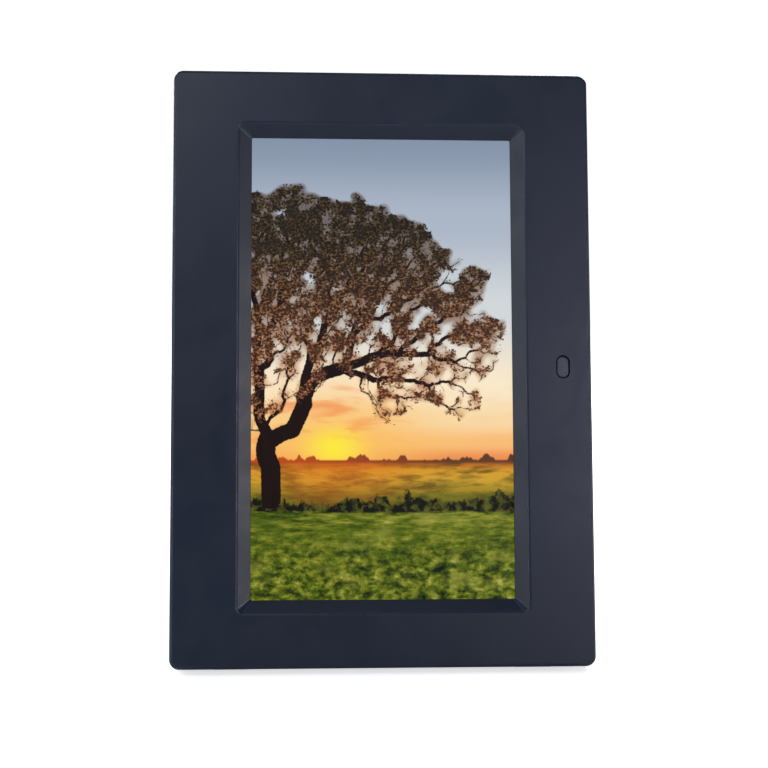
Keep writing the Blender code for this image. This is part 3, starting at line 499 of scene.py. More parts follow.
def sheet_metal(name, colour, roughness, grain_axis=(1.0, 1.0, 0.04)):
    """Rolled or plated metal with fine streaks along one axis."""
    g = Graph(name)
    streak = g.noise(2.2 * GRAIN, 3.0, grain_axis)
    stain = g.noise(60.0, 4.0)
    matt = g.plus(g.span(streak, 0.3, 0.7, roughness - 0.08, roughness + 0.08),
                  g.span(stain, 0.4, 0.7, 0.0, 0.08))
    g.set("Metallic", 1.0)
    return g.finished(g.mix(g.span(stain, 0.35, 0.7), colour, tinted(colour, 0.78)), matt,
                      streak, 0.15, 0.00002)


def optical_film(name):
    """Pale, faintly hazy plastic sheet."""
    g = Graph(name)
    haze = g.noise(0.4 * GRAIN, 3.0)
    return g.finished(g.mix(haze, (0.72, 0.74, 0.76, 1), (0.90, 0.90, 0.88, 1)),
                      g.span(haze, 0.3, 0.7, 0.35, 0.55), g.cells(2.4 * GRAIN), 0.1, 0.00002)


def circuit_board(name):
    """Green solder mask over copper tracks and pads."""
    g = Graph(name)
    tracks = g.cells(0.55 * GRAIN, (1.0, 0.02, 1.0), "DISTANCE_TO_EDGE")
    track = g.span(tracks, 0.03, 0.05)
    weave = g.noise(3.0 * GRAIN, 2.0)
    mask = g.mix(g.span(weave, 0.35, 0.65), (0.010, 0.085, 0.030, 1), (0.016, 0.125, 0.048, 1))
    return g.finished(g.mix(track, (0.035, 0.21, 0.075, 1), mask),
                      g.span(weave, 0.3, 0.7, 0.25, 0.4), track, 0.4, 0.00004)


def epoxy(name):
    """Near-black moulding compound, as on chips."""
    g = Graph(name)
    grain = g.noise(3.5 * GRAIN, 3.0)
    return g.finished(g.mix(grain, (0.012, 0.012, 0.013, 1), (0.028, 0.028, 0.030, 1)),
                      g.span(grain, 0.3, 0.7, 0.42, 0.6), grain, 0.25, 0.00003)


def ribbon_film(name):
    """Amber polyimide with dark tracks along it."""
    g = Graph(name)
    across = g.parts(g.place)[0]
    wave = g.math("SINE", g.times(across, 2 * math.pi * GRAIN))
    line = g.span(wave, -0.1, 0.1)
    spots = g.noise(0.8 * GRAIN, 3.0)
    amber = g.mix(spots, (0.50, 0.20, 0.03, 1), (0.62, 0.28, 0.05, 1))
    return g.finished(g.mix(line, amber, (0.22, 0.09, 0.02, 1)),
                      g.span(spots, 0.3, 0.7, 0.28, 0.42), line, 0.2, 0.00002)


def tinted_window(name):
    """The infrared receiver's window: smooth dyed plastic, a shade lighter than the bezel."""
    g = Graph(name)
    cloud = g.noise(0.35 * GRAIN, 3.0)
    return g.finished(g.mix(cloud, linear(30, 32, 44), linear(38, 40, 54)),
                      g.span(g.noise(1.5 * GRAIN, 3.0), 0.3, 0.7, 0.24, 0.34),
                      g.noise(2.0 * GRAIN, 2.0), 0.05, 0.00002, gloss=0.4)


looks = {
    "bezel": moulded_plastic("bezel_plastic", linear(16, 25, 42), 0.36, texture=0.16, gloss=0.34),
    "cover": moulded_plastic("cover_plastic", linear(31, 34, 39), 0.52, texture=0.5, sparkle=0.2),
    "key": moulded_plastic("key_plastic", linear(52, 56, 62), 0.38, texture=0.12),
    "print": moulded_plastic("key_print", linear(190, 192, 196), 0.5, texture=0.05),
    "ir_window": tinted_window("infrared_window"),
    "foam": rubber("gasket_foam", linear(28, 28, 30), 0.9),
    "film": optical_film("backlight_film"),
    "steel": sheet_metal("sheet_steel", (0.56, 0.57, 0.58, 1), 0.32),
    "screw": sheet_metal("screw_plating", (0.20, 0.20, 0.21, 1), 0.30, (1.0, 1.0, 1.0)),
    "socket": sheet_metal("socket_plating", (0.66, 0.66, 0.66, 1), 0.24),
    "contact": sheet_metal("contact_gold", (0.85, 0.62, 0.22, 1), 0.22),
    "board": circuit_board("circuit_board"),
    "component": epoxy("component_epoxy"),
    "ribbon": ribbon_film("ribbon_film"),
    "lead": rubber("lead_sleeve", linear(96, 26, 24), 0.5),
    "rubber": rubber("foot_rubber", linear(30, 30, 32)),
}


# The picture on the screen ----------------------------------------------------------------------
PICTURE_HALF_W = WINDOW_HALF_W + 0.0003
PICTURE_HALF_H = WINDOW_HALF_H + 0.0003
PICTURE_COLUMNS = 216
PICTURE_ROWS = 380
HORIZON = 0.300  # in picture heights, as are all rises in the material
MEADOW_TOP = 0.190

# The tree. Points are (across, rise) in picture widths from the picture's lower left corner.
CROWN = (
    (-0.06, 0.62), (-0.06, 1.50), (0.14, 1.58), (0.27, 1.52), (0.39, 1.53), (0.53, 1.47), (0.64, 1.43),
    (0.73, 1.35), (0.80, 1.26), (0.92, 1.25), (0.88, 1.12), (0.99, 1.03), (0.95, 0.87), (0.87, 0.83),
    (0.88, 0.70), (0.77, 0.67), (0.68, 0.75), (0.58, 0.70), (0.52, 0.66), (0.45, 0.72), (0.42, 0.84),
    (0.28, 0.82), (0.17, 0.70), (0.05, 0.66),
)
LIMBS = (
    ((0.080, 0.372), (0.078, 0.50), (0.072, 0.62)),
    ((0.072, 0.62), (0.035, 0.76), (0.015, 0.90), (0.030, 1.00), (0.010, 1.15)),
    ((0.078, 0.60), (0.16, 0.64), (0.205, 0.74), (0.220, 0.88), (0.190, 1.00)),
    ((0.210, 0.77), (0.29, 0.86), (0.42, 0.90), (0.55, 0.935), (0.68, 0.93)),
    ((0.36, 0.89), (0.385, 1.00), (0.43, 1.10)),
    ((0.43, 0.90), (0.445, 0.80), (0.50, 0.72)),
)
LIMB_STEP = 0.008
LIMB_BEND = 0.10
TWIG_R = 0.0009
THICKENING = 0.50
BUDS = 1650
BUD_SCATTER = 0.012
STRAIGHTNESS = 0.45
CROWN_RISE = (0.75, 1.00, 1.18, 1.38)
CROWN_FULLNESS = (0.40, 0.58, 1.20, 2.10)
TUFT_FULLNESS = (0.4, 1.1)
TUFT_SPREAD = (0.012, 0.028)
VEIL = 0.06
VEIL_SPREAD = 0.03
TREE_SEED = 11
LEAF_SEED = 5


def inside_outline(points, outline):
    """Which points are inside a closed outline."""
    inside = np.zeros(len(points), bool)
    for (x0, y0), (x1, y1) in zip(outline, outline[1:] + outline[:1]):
        between = (points[:, 1] < y0) != (points[:, 1] < y1)
        reach = x0 + (points[:, 1] - y0) * (x1 - x0) / (y1 - y0 if y1 != y0 else 1.0)
        inside ^= between & (points[:, 0] < reach)
    return inside


def grow_tree():
    """Limbs that reach every bud scattered in the crown. The next bud joined is always the one
    with the shortest way to the root, so limbs run outwards. Gives the points of the limbs, each
    point's parent, the number of buds it carries, and the buds."""
    draw = np.random.default_rng(TREE_SEED)
    points, parents, paths = [], [], []

    def add_limb(source, start, end):
        length = np.linalg.norm(end - start)
        steps = max(1, int(length / LIMB_STEP))
        bend = draw.normal(0, LIMB_BEND) * length
        across = np.array([start[1] - end[1], end[0] - start[0]]) / length
        for step in range(1, steps + 1):
            share = step / steps
            points.append(start + (end - start) * share + across * bend * math.sin(math.pi * share))
            parents.append(source)
            paths.append(paths[source] + length / steps if source >= 0 else 0.0)
            source = len(points) - 1
        return source

    for limb in LIMBS:
        source = -1
        if points:
            source = int(np.argmin(np.linalg.norm(np.array(points) - limb[0], axis=1)))
        for start, end in zip(limb, limb[1:]):
            source = add_limb(source, np.array(start), np.array(end))
    buds = draw.uniform((-0.06, 0.64), (1.0, 1.60), (BUDS * 3, 2))
    buds = buds[inside_outline(buds, list(CROWN))][:BUDS]
    buds += draw.normal(0, BUD_SCATTER, buds.shape)
    carried = []
    cost = np.full(len(buds), np.inf)
    nearest = np.zeros(len(buds), int)
    first = 0
    waiting = np.ones(len(buds), bool)
    while waiting.any():
        fresh = np.array(points[first:])
        gaps = np.linalg.norm(buds[:, None] - fresh[None], axis=2)
        gaps += STRAIGHTNESS * np.array(paths[first:])
        closer = gaps.min(axis=1) < cost
        nearest = np.where(closer, first + gaps.argmin(axis=1), nearest)
        cost = np.minimum(cost, gaps.min(axis=1))
        first = len(points)
        bud = int(np.argmin(np.where(waiting, cost, np.inf)))
        waiting[bud] = False
        source = int(nearest[bud])
        carried.append(add_limb(source, points[source], buds[bud]))
    loads = np.zeros(len(points))
    loads[carried] = 1.0
    for here in range(len(points) - 1, 0, -1):
        loads[parents[here]] += loads[here]
    return np.array(points), parents, loads, buds


def tree_fields():
    """Over the picture's grid: how far each point is outside the wood, and how leafy it is."""
    across = np.linspace(0.0, 1.0, PICTURE_COLUMNS)
    rise = np.linspace(0.0, PICTURE_HALF_H / PICTURE_HALF_W, PICTURE_ROWS)
    wood = np.full((PICTURE_ROWS, PICTURE_COLUMNS), 1.0)
    leaf = np.zeros_like(wood)
    points, parents, loads, buds = grow_tree()
    draw = np.random.default_rng(LEAF_SEED)

    def window(point, reach):
        columns = slice(*np.searchsorted(across, (point[0] - reach, point[0] + reach)))
        rows = slice(*np.searchsorted(rise, (point[1] - reach, point[1] + reach)))
        return rows, columns, np.meshgrid(across[columns], rise[rows])

    for here in range(1, len(points)):
        end, start = points[here], points[parents[here]]
        radius = TWIG_R * max(loads[here], 1.0) ** THICKENING
        rows, columns, (x, z) = window(end, radius + 3 * LIMB_STEP)
        along = end - start
        share = np.clip(((x - start[0]) * along[0] + (z - start[1]) * along[1]) / (along @ along), 0, 1)
        gap = np.hypot(x - start[0] - share * along[0], z - start[1] - share * along[1])
        wood[rows, columns] = np.minimum(wood[rows, columns], gap - radius)
    for bud in buds:
        fullness = np.interp(bud[1], CROWN_RISE, CROWN_FULLNESS)
        rows, columns, (x, z) = window(bud, 3 * VEIL_SPREAD)
        away = (x - bud[0]) ** 2 + (z - bud[1]) ** 2
        tuft = fullness * draw.uniform(*TUFT_FULLNESS)
        leaf[rows, columns] += tuft * np.exp(-away / draw.uniform(*TUFT_SPREAD) ** 2)
        leaf[rows, columns] += VEIL * np.exp(-away / VEIL_SPREAD ** 2)
    return wood, 1 - np.exp(-leaf)


def screen_mesh():
    """The glass, with a fine grid where the picture is so that the tree's distances are stored
    on it."""
    low, high = box_of("lcd_glass")
    across = np.linspace(-PICTURE_HALF_W, PICTURE_HALF_W, PICTURE_COLUMNS)
    rise = MID_Z + np.linspace(-PICTURE_HALF_H, PICTURE_HALF_H, PICTURE_ROWS)
    columns = [low.x, *across, high.x]
    rows = [low.z, *rise, high.z]

    def build(bm):
        grid = [[bm.verts.new((x, low.y, z)) for x in columns] for z in rows]
        for lower, upper in zip(grid, grid[1:]):
            for here in range(len(columns) - 1):
                bm.faces.new((lower[here], lower[here + 1], upper[here + 1], upper[here]))
        rim = [edge for edge in bm.edges if edge.is_boundary]
        made = bmesh.ops.extrude_edge_only(bm, edges=rim)["geom"]
        behind = [item for item in made if isinstance(item, bmesh.types.BMVert)]
        bmesh.ops.translate(bm, vec=(0, high.y - low.y, 0), verts=behind)
        bmesh.ops.contextual_create(bm, geom=[e for e in bm.edges if e.is_boundary])

    mesh = mesh_of(build)
    points = np.array([vertex.co for vertex in mesh.vertices])
    column = np.interp(points[:, 0], (-PICTURE_HALF_W, PICTURE_HALF_W), (0, PICTURE_COLUMNS - 1))
    row = np.interp(points[:, 2] - MID_Z, (-PICTURE_HALF_H, PICTURE_HALF_H), (0, PICTURE_ROWS - 1))
    for name, field in zip(("limb_gap", "leaf"), tree_fields()):
        layer = mesh.attributes.new(name, "FLOAT", "POINT")
        values = field[np.rint(row).astype(int), np.rint(column).astype(int)]
        layer.data.foreach_set("value", values.astype(np.float32))
    return mesh


def screen_material():
    """A lit panel: a sunset meadow with a tree, drawn by the nodes, behind a satin polariser."""
    g = Graph("screen_picture")
    x, _, z = g.parts(g.place)
    across = g.span(x, -PICTURE_HALF_W, PICTURE_HALF_W)
    rise = g.span(z, MID_Z - PICTURE_HALF_H, MID_Z + PICTURE_HALF_H)
    colour = sky(g, across, rise)
    colour = land(g, colour, across, rise)
    colour = tree(g, colour, rise)
    inside = g.times(inside_edge(g, x, 0.0, PICTURE_HALF_W), inside_edge(g, z, MID_Z, PICTURE_HALF_H))
    g.set("Emission Color", g.mix(inside, (0.0, 0.0, 0.0, 1), colour))
    g.set("Emission Strength", 1.0)
    satin = g.noise(6.0 * GRAIN, 1.0)
    return g.finished((0.003, 0.003, 0.004, 1), 0.34, satin, 0.05, 0.00001, gloss=0.10)


def inside_edge(g, value, centre, half):
    """1 within half of the centre and 0 beyond."""
    away = g.math("ABSOLUTE", g.minus(value, centre))
    return g.math("LESS_THAN", away, half)


def sky(g, across, rise):
    """Pale above and warm at the horizon, with the setting sun's glow and a few lit clouds."""
    base = g.ramp(rise, (
        (0.300, linear(236, 140, 76)),
        (0.335, linear(248, 190, 118)),
        (0.385, linear(248, 216, 164)),
        (0.450, linear(249, 232, 200)),
        (0.620, linear(208, 214, 216)),
        (0.820, linear(170, 181, 197)),
        (1.000, linear(132, 147, 168)),
    ))
    glow = sun_distance(g, across, rise)
    base = g.mix(g.ease(glow, 0.34, 0.02, 0.0, 0.85), base, linear(250, 190, 92))
    base = g.mix(g.ease(glow, 0.11, 0.0), base, linear(252, 232, 60))
    streak = g.noise(34.0, 4.0, (1.0, 1.0, 5.0), distortion=0.4)
    band = g.times(g.ease(rise, 0.31, 0.36), g.ease(rise, 0.50, 0.42))
    left = g.ease(across, 0.75, 0.2, 0.15, 1.0)
    cloud = g.times(g.times(band, left), g.ease(streak, 0.52, 0.66, 0.0, 0.8))
    return g.mix(cloud, base, linear(240, 140, 70))


def sun_distance(g, across, rise):
    """Distance from the setting sun, wider than high."""
    aside = g.times(g.minus(across, 0.32), 0.62)
    above = g.times(g.minus(rise, 0.325), 1.6)
    square = g.plus(g.times(aside, aside), g.times(above, above))
    return g.math("SQRT", square)


def land(g, behind, across, rise):
    """Woods on the horizon, a lit field, a hedge in front of it and the near meadow."""
    row = g.noise(150.0, 3.0, (1.0, 1.0, 0.0))
    hill = g.plus(HORIZON - 0.001, g.times(g.ease(row, 0.50, 0.68), 0.016))
    woods = g.ease(g.minus(hill, rise), -0.002, 0.003)
    fade = g.span(across, 0.15, 0.75)
    colour = g.mix(woods, behind, g.mix(fade, linear(186, 72, 22), linear(92, 56, 34)))
    mottle = g.noise(260.0, 5.0, (0.35, 1.0, 1.6), rough=0.62)
    field = g.ramp(rise, (
        (0.195, linear(80, 84, 20)),
        (0.220, linear(118, 112, 26)),
        (0.238, linear(168, 138, 34)),
        (0.256, linear(204, 158, 44)),
        (0.276, linear(212, 154, 40)),
        (0.288, linear(186, 108, 30)),
        (0.300, linear(90, 44, 20)),
    ))
    field = g.mix(g.span(mottle, 0.42, 0.62, 0.0, 0.75), field, linear(66, 58, 12))
    flare = g.ease(sun_distance(g, across, rise), 0.28, 0.02, 0.0, 0.55)
    field = g.mix(flare, field, linear(222, 104, 20))
    colour = g.mix(g.ease(rise, HORIZON - 0.003, HORIZON - 0.011), colour, field)
    tuft = g.noise(240.0, 4.0, (0.8, 1.0, 0.5), rough=0.6)
    hedge_top = g.plus(0.198, g.times(g.span(tuft, 0.35, 0.7), 0.040))
    hedge = g.ease(g.minus(hedge_top, rise), -0.002, 0.006)
    twiggy = g.span(g.noise(420.0, 4.0, rough=0.6), 0.46, 0.66)
    bush = g.mix(twiggy, linear(14, 16, 2), linear(88, 90, 24))
    colour = g.mix(hedge, colour, bush)
    return meadow(g, colour, rise)


def meadow(g, behind, rise):
    """Grass near the viewer, coarser and more broken up towards the lower edge."""
    near = g.noise(390.0, 5.0, (0.70, 1.0, 1.0), rough=0.63, distortion=0.2)
    far = g.noise(650.0, 4.0, (0.25, 1.0, 1.2), rough=0.6)
    nearness = g.span(rise, 0.17, 0.07, 0.0, 1.0)
    grass = g.ramp(g.mix(nearness, g.span(far, 0.0, 1.0, 0.22, 0.86), near), (
        (0.32, linear(12, 22, 2)),
        (0.43, linear(50, 64, 6)),
        (0.51, linear(86, 101, 10)),
        (0.59, linear(126, 130, 36)),
        (0.70, linear(176, 170, 84)),
    ))
    patch = g.noise(70.0, 3.0, (0.5, 1.0, 1.3), distortion=0.8)
    grass = g.mix(g.ease(patch, 0.50, 0.68, 0.0, 0.8), grass,
                  g.mix(1.0, grass, linear(140, 178, 120), "MULTIPLY"))
    grass = g.mix(g.ease(patch, 0.46, 0.30, 0.0, 0.45), grass, linear(150, 152, 60))
    edge = g.plus(MEADOW_TOP - 0.010, g.times(far, 0.014))
    cover = g.ease(g.minus(edge, rise), -0.003, 0.004)
    return g.mix(cover, behind, grass)


def tree(g, behind, rise):
    """Wood where limb_gap falls to nothing, and leaves where there is more than the noise asks."""
    gap = g.stored("limb_gap")
    leaf = g.stored("leaf")
    fine = g.noise(1.25 * GRAIN, 3.0, rough=0.55, distortion=0.3)
    clump = g.noise(0.26 * GRAIN, 3.0, rough=0.6, distortion=0.4)
    texture = g.plus(g.times(fine, 0.45), g.times(clump, 0.70))
    level = g.span(leaf, 0.10, 0.98, 0.82, 0.475)
    leaves = g.ease(g.minus(texture, level), -0.01, 0.06)
    leaves = g.times(leaves, g.span(leaf, 0.02, 0.10))
    high = g.ease(rise, 0.42, 0.80)
    dark = g.mix(high, linear(76, 38, 20), linear(24, 20, 8))
    light = g.mix(high, linear(210, 146, 98), linear(96, 74, 46))
    tone = g.noise(1.1 * GRAIN, 2.0, (1.0, 1.0, 1.3))
    foliage = g.mix(g.span(tone, 0.46, 0.68), dark, light)
    shade = g.mix(high, linear(62, 34, 20), linear(32, 28, 20))
    foliage = g.mix(g.span(clump, 0.50, 0.64, 0.0, 0.75), foliage, shade)
    haze = g.span(leaf, 0.52, 0.88, 0.0, 0.9)
    veil = g.mix(high, linear(196, 154, 128), linear(156, 126, 104))
    through = g.mix(haze, behind, g.mix(1.0, behind, veil, "MULTIPLY"))
    bark = g.mix(g.noise(0.5 * GRAIN, 4.0, (1.0, 1.0, 0.3)), linear(6, 2, 0), linear(34, 14, 6))
    wobble = g.times(g.minus(fine, 0.5), 0.008)
    wood = g.ease(g.plus(gap, wobble), 0.0022, -0.0015)
    return g.mix(leaves, g.mix(wood, through, bark), foliage)


looks["screen"] = screen_material()


# The front --------------------------------------------------------------------------------------
LIP_REACH = 0.0080
CREST_R = 0.0018
FRONT_EDGE_R = 0.0012
WINDOW_PLAY = 0.0002
FOOT_CUT = 0.0018


def bezel_mesh():
    """The moulding as one swept ring: rim, flat front, softened crest, slope down to the window,
    lip and the hollow behind. Screw pillars stand in the hollow."""
    slope_w, slope_h = WINDOW_HALF_W + SLOPE_W, WINDOW_HALF_H + SLOPE_W
    lip_w, lip_h = WINDOW_HALF_W + LIP_REACH, WINDOW_HALF_H + LIP_REACH
    stations = [
        (HALF_W, HALF_H, RIM_BACK, CORNER_R, 0.0003),
        (HALF_W, HALF_H, 0.0, CORNER_R, FRONT_EDGE_R),
        (slope_w, slope_h, 0.0, 0.0024, CREST_R),
        (WINDOW_HALF_W, WINDOW_HALF_H, SLOPE_DEPTH, 0.0006, 0.0004),
        (WINDOW_HALF_W, WINDOW_HALF_H, LIP_BACK, 0.0006, 0),
        (lip_w, lip_h, LIP_BACK, 0.0006, 0),
        (lip_w, lip_h, WALL, 0.0006, 0),
        (HALF_W - WALL, HALF_H - WALL, WALL, 0.0015, 0.0004),
        (HALF_W - WALL, HALF_H - WALL, RIM_BACK, 0.0015, 0),
    ]
    mesh = rounded_solid(stations, (0.0, MID_Z), closed=True, steps=6, corner_steps=10)
    low, high = box_of("ir_window")
    half_w = (high.x - low.x) / 2 + WINDOW_PLAY
    half_h = (high.z - low.z) / 2 + WINDOW_PLAY
    mesh = cut(mesh, block(xz((low + high) / 2), half_w, half_h, -PAST, WALL + PAST, half_w - INSET))
    pillars = [drum(PILLAR_R, WALL - 0.0004, RIM_BACK - 0.0001, spot) for spot in screw_spots()]
    pilots = [pilot_hole(WALL + PAST, RIM_BACK + PAST, spot) for spot in screw_spots()]
    return cut(join(mesh, *pillars), *pilots)


def pilot_hole(low, high, spot):
    """A cutter for a screw's pilot hole."""
    return drum(PILOT_R, low, high, spot, steps=20)


def make_front():
    """The bezel, the receiver's window, the lit screen and the feet."""
    piece("bezel", bezel_mesh(), looks["bezel"], "housing", ["front_bezel"], sharp=40)
    low, high = box_of("ir_window")
    half = (high.x - low.x) / 2
    pill = soft_block(low, high, half - INSET, edge_front=0.0005, corner_steps=12)
    piece("receiver_window", pill, looks["ir_window"], "housing", ["ir_window"])
    piece("screen", screen_mesh(), looks["screen"], "housing", ["lcd_glass"], wears=False)
    for side in ("left", "right"):
        node = side + "_foot"
        piece(node + "_soft", foot_mesh(node), looks["rubber"], "housing", [node])


def foot_mesh(node):
    """A rubber foot, level with the floor below and cut away at its front."""
    low, high = box_of(node)

    def floor_at(depth):
        return low.z + (depth - low.y) * math.tan(LEAN)

    toe = low.y + FOOT_CUT
    outline = [(low.y, high.z), (low.y, high.z - 0.0006), (toe, floor_at(toe)),
               (high.y, floor_at(high.y)), (high.y, high.z)]
    return extruded(outline, low.x, high.x, 0, 0.0003)


def copy_softened(node, body, look, width, segments=3, name=None):
    """A copy of a CAD node's mesh with its edges rounded."""
    mesh = frame["nodes"][node].data.copy()
    mesh.materials.clear()
    bm = bmesh.new()
    bm.from_mesh(mesh)
    bmesh.ops.remove_doubles(bm, verts=bm.verts, dist=1e-6)
    bmesh.ops.dissolve_limit(bm, angle_limit=math.radians(1), verts=bm.verts, edges=bm.edges)
    edges = [e for e in bm.edges if e.is_manifold and e.calc_face_angle() > math.radians(30)]
    bmesh.ops.bevel(bm, geom=edges, offset=width, segments=segments, affect="EDGES",
                    profile=0.5, clamp_overlap=True)
    bm.to_mesh(mesh)
    bm.free()
    return piece(name or node + "_soft", mesh, look, body, [node], Matrix.Identity(4))


# The back ---------------------------------------------------------------------------------------
COVER_LOW, COVER_HIGH = box_of("rear_cover")
PLATE_FRONT = RIM_BACK + 0.0003
PLATE_BACK = PLATE_FRONT + WALL
BOX_BACK = COVER_HIGH.y
BOX_HALF_W = 0.0480
BOX_LOW_Z = 0.0220
BOX_HIGH_Z = 0.1720
BOX_HALF_H = (BOX_HIGH_Z - BOX_LOW_Z) / 2
BOX_Z = (BOX_HIGH_Z + BOX_LOW_Z) / 2
BOX_TAPER = 0.0030
BOX_WALL = 0.0020
BOX_CORNER = 0.0080
TONGUE_REACH = WALL + 0.0006
TONGUE_T = 0.0012
DISC_LOW, DISC_HIGH = box_of("stand_disc")
DISC_R = DISC_HIGH.x
POCKET_FLOOR = 0.0210
POCKET_R = DISC_R + 0.0004
HUB_HOLE_R = 0.0073
POST_X, POST_Z, POST_FRONT = 0.0410, 0.1200, 0.0143
SCREW_SEAT = PLATE_BACK - 0.0014
WELL_R = 0.0031
GRILLE_R, GRILLE_PITCH, GRILLE_SLOT_H = 0.0105, 0.0026, 0.00055
VENT_X, VENT_Z, VENT_PITCH, VENT_SLOTS = 0.0270, 0.1400, 0.0036, 6
VENT_HALF_W, VENT_HALF_H = 0.0120, 0.0007
SLOT_FLARE = 0.0002
SOCKET_PLAY = 0.0003
KEY_PLAY = 0.0002
FLANGE_REACH = 0.0008
FLANGE_FRONT = PLATE_FRONT - 0.0009
FLANGE_BACK = PLATE_FRONT - 0.0003


def cover_mesh():
    """The rear moulding: thin tongue, plate, sloped walls and the flat back of the box, swept as
    one shell and then pierced."""
    cover = rounded_solid(about(
        COVER_HIGH.x, (COVER_HIGH.z - COVER_LOW.z) / 2,
        (-0.0008, PLATE_FRONT, CORNER_R, 0),
        (0, PLATE_FRONT, CORNER_R, 0.0003),
        (0, PLATE_BACK, CORNER_R, 0.0007),
        (-0.0020, PLATE_BACK, CORNER_R, 0),
    ), (0.0, MID_Z))
    box = about(
        BOX_HALF_W, BOX_HALF_H,
        (BOX_TAPER - PAST, PLATE_BACK - PAST, BOX_CORNER, 0),
        (BOX_TAPER, PLATE_BACK - PAST, BOX_CORNER, 0),
        (BOX_TAPER, PLATE_BACK + 0.0002, BOX_CORNER, 0),
        (0, BOX_BACK, BOX_CORNER, 0.0016),
        (-0.004, BOX_BACK, BOX_CORNER - 0.004, 0),
    )
    cover = join(cover, rounded_solid(box, (0.0, BOX_Z), corner_steps=12))
    cover = cut(cover, block((0.0, BOX_Z), BOX_HALF_W - BOX_WALL, BOX_HALF_H - BOX_WALL,
                             PLATE_FRONT - PAST, BOX_BACK - BOX_WALL, BOX_CORNER - BOX_WALL,
                             edge_back=0.0005))
    tongue_back = PLATE_FRONT + 0.0004
    tongue = about(
        HALF_W - TONGUE_REACH, HALF_H - TONGUE_REACH,
        (0, COVER_LOW.y, 0.001, 0),
        (0, tongue_back, 0.001, 0),
        (-TONGUE_T, tongue_back, 0.0004, 0),
        (-TONGUE_T, COVER_LOW.y, 0.0004, 0),
    )
    return pierced(join(cover, rounded_solid(tongue, (0.0, MID_Z), closed=True)))


def pierced(cover):
    """The turntable's pocket, and the holes for screws, keys, sound, heat and sockets."""
    centre = (0.0, MID_Z)
    inner_back = BOX_BACK - BOX_WALL + 0.0005
    cover = join(cover, drum(DISC_R + 0.0025, POCKET_FLOOR - BOX_WALL, inner_back, centre, steps=96))
    pocket = turned([(POCKET_R, POCKET_FLOOR), (POCKET_R, BOX_BACK - 0.0005),
                     (POCKET_R + 0.0006, BOX_BACK + 0.0001), (POCKET_R + 0.0006, BOX_BACK + PAST)],
                    centre, 128)
    hub_hole = drum(HUB_HOLE_R, POCKET_FLOOR - 0.004, POCKET_FLOOR + PAST, centre, steps=48)
    cover = cut(cover, pocket, hub_hole)
    for side in (-1, 1):
        post = (side * POST_X, POST_Z)
        cover = join(cover, drum(PILLAR_R, POST_FRONT, inner_back, post))
        cover = cut(cover, pilot_hole(0.0130, 0.0200, post))
    wells = [turned([
        (PILOT_R, PLATE_FRONT - PAST), (PILOT_R, SCREW_SEAT), (WELL_R, SCREW_SEAT),
        (WELL_R, PLATE_BACK - 0.0002), (WELL_R + 0.0004, PLATE_BACK + 0.0001),
        (WELL_R + 0.0004, PLATE_BACK + PAST),
    ], spot, 40) for spot in screw_spots()]
    return cut(cover, *wells, merged(*key_holes()), merged(*grille_slots()), *socket_holes())


def flared_hole(centre, half_w, half_h, low, high, corner, flare=0.0003):
    """A cutter with a small flare where it leaves the outer face at high."""
    return rounded_solid(about(
        half_w, half_h,
        (0, low, corner, 0),
        (0, high - flare, corner, 0),
        (flare, high + 0.00002, corner + flare, 0),
        (flare, high + PAST, corner + flare, 0),
    ), centre, corner_steps=5)


def key_holes():
    """Holes for the caps, and a slot as long as the knob and its travel."""
    holes = []

    def add_hole(low, high, growth, corner):
        half = (high - low) / 2
        spot = xz((low + high) / 2)
        holes.append(flared_hole(spot, half.x + growth, half.z + growth, PLATE_FRONT - PAST,
                                 PLATE_BACK, corner))

    for number in range(1, 6):
        add_hole(*box_of(f"button_{number}"), KEY_PLAY - FLANGE_REACH, 0.0013)
    low, high = box_of("power_switch_knob")
    high.z += joints["power_switch_slide"]["range_m"][1]
    add_hole(low, high, KEY_PLAY, 0.0005)
    return holes


def grille_slots():
    """Round sets of slots over the loudspeakers, and two stacks of vents near the top."""
    slots = []

    def add_slot(x, z, half_w, half_h):
        slots.append(flared_hole((x, z), half_w, half_h, BOX_BACK - BOX_WALL - PAST, BOX_BACK,
                                 half_h - INSET, SLOT_FLARE))

    for side in ("left", "right"):
        spot = middle("speaker_" + side)
        for step in range(-3, 4):
            rise = step * GRILLE_PITCH
            add_slot(spot.x, spot.z + rise, math.sqrt(GRILLE_R ** 2 - rise ** 2), GRILLE_SLOT_H)
    for side in (-1, 1):
        for step in range(VENT_SLOTS):
            add_slot(side * VENT_X, VENT_Z + step * VENT_PITCH, VENT_HALF_W, VENT_HALF_H)
    return slots


def socket_holes():
    """Each socket's body passes through the box's upper wall, and its mouth opens above it."""
    holes = []
    for node in ("sd_card_slot", "usb_a_socket", "mini_usb_socket", "dc_inlet"):
        low, high = box_of(node)
        top = high.z
        low -= Vector((SOCKET_PLAY,) * 3)
        high += Vector((SOCKET_PLAY,) * 3)
        holes.append(soft_block((low.x, low.y, BOX_HIGH_Z - 0.005), high, 1e-4))
        mouth_high = (high.x, high.y, BOX_HIGH_Z + 0.007)
        holes.append(soft_block((low.x, PLATE_BACK + 0.00002, top), mouth_high, 1e-4))
    return holes


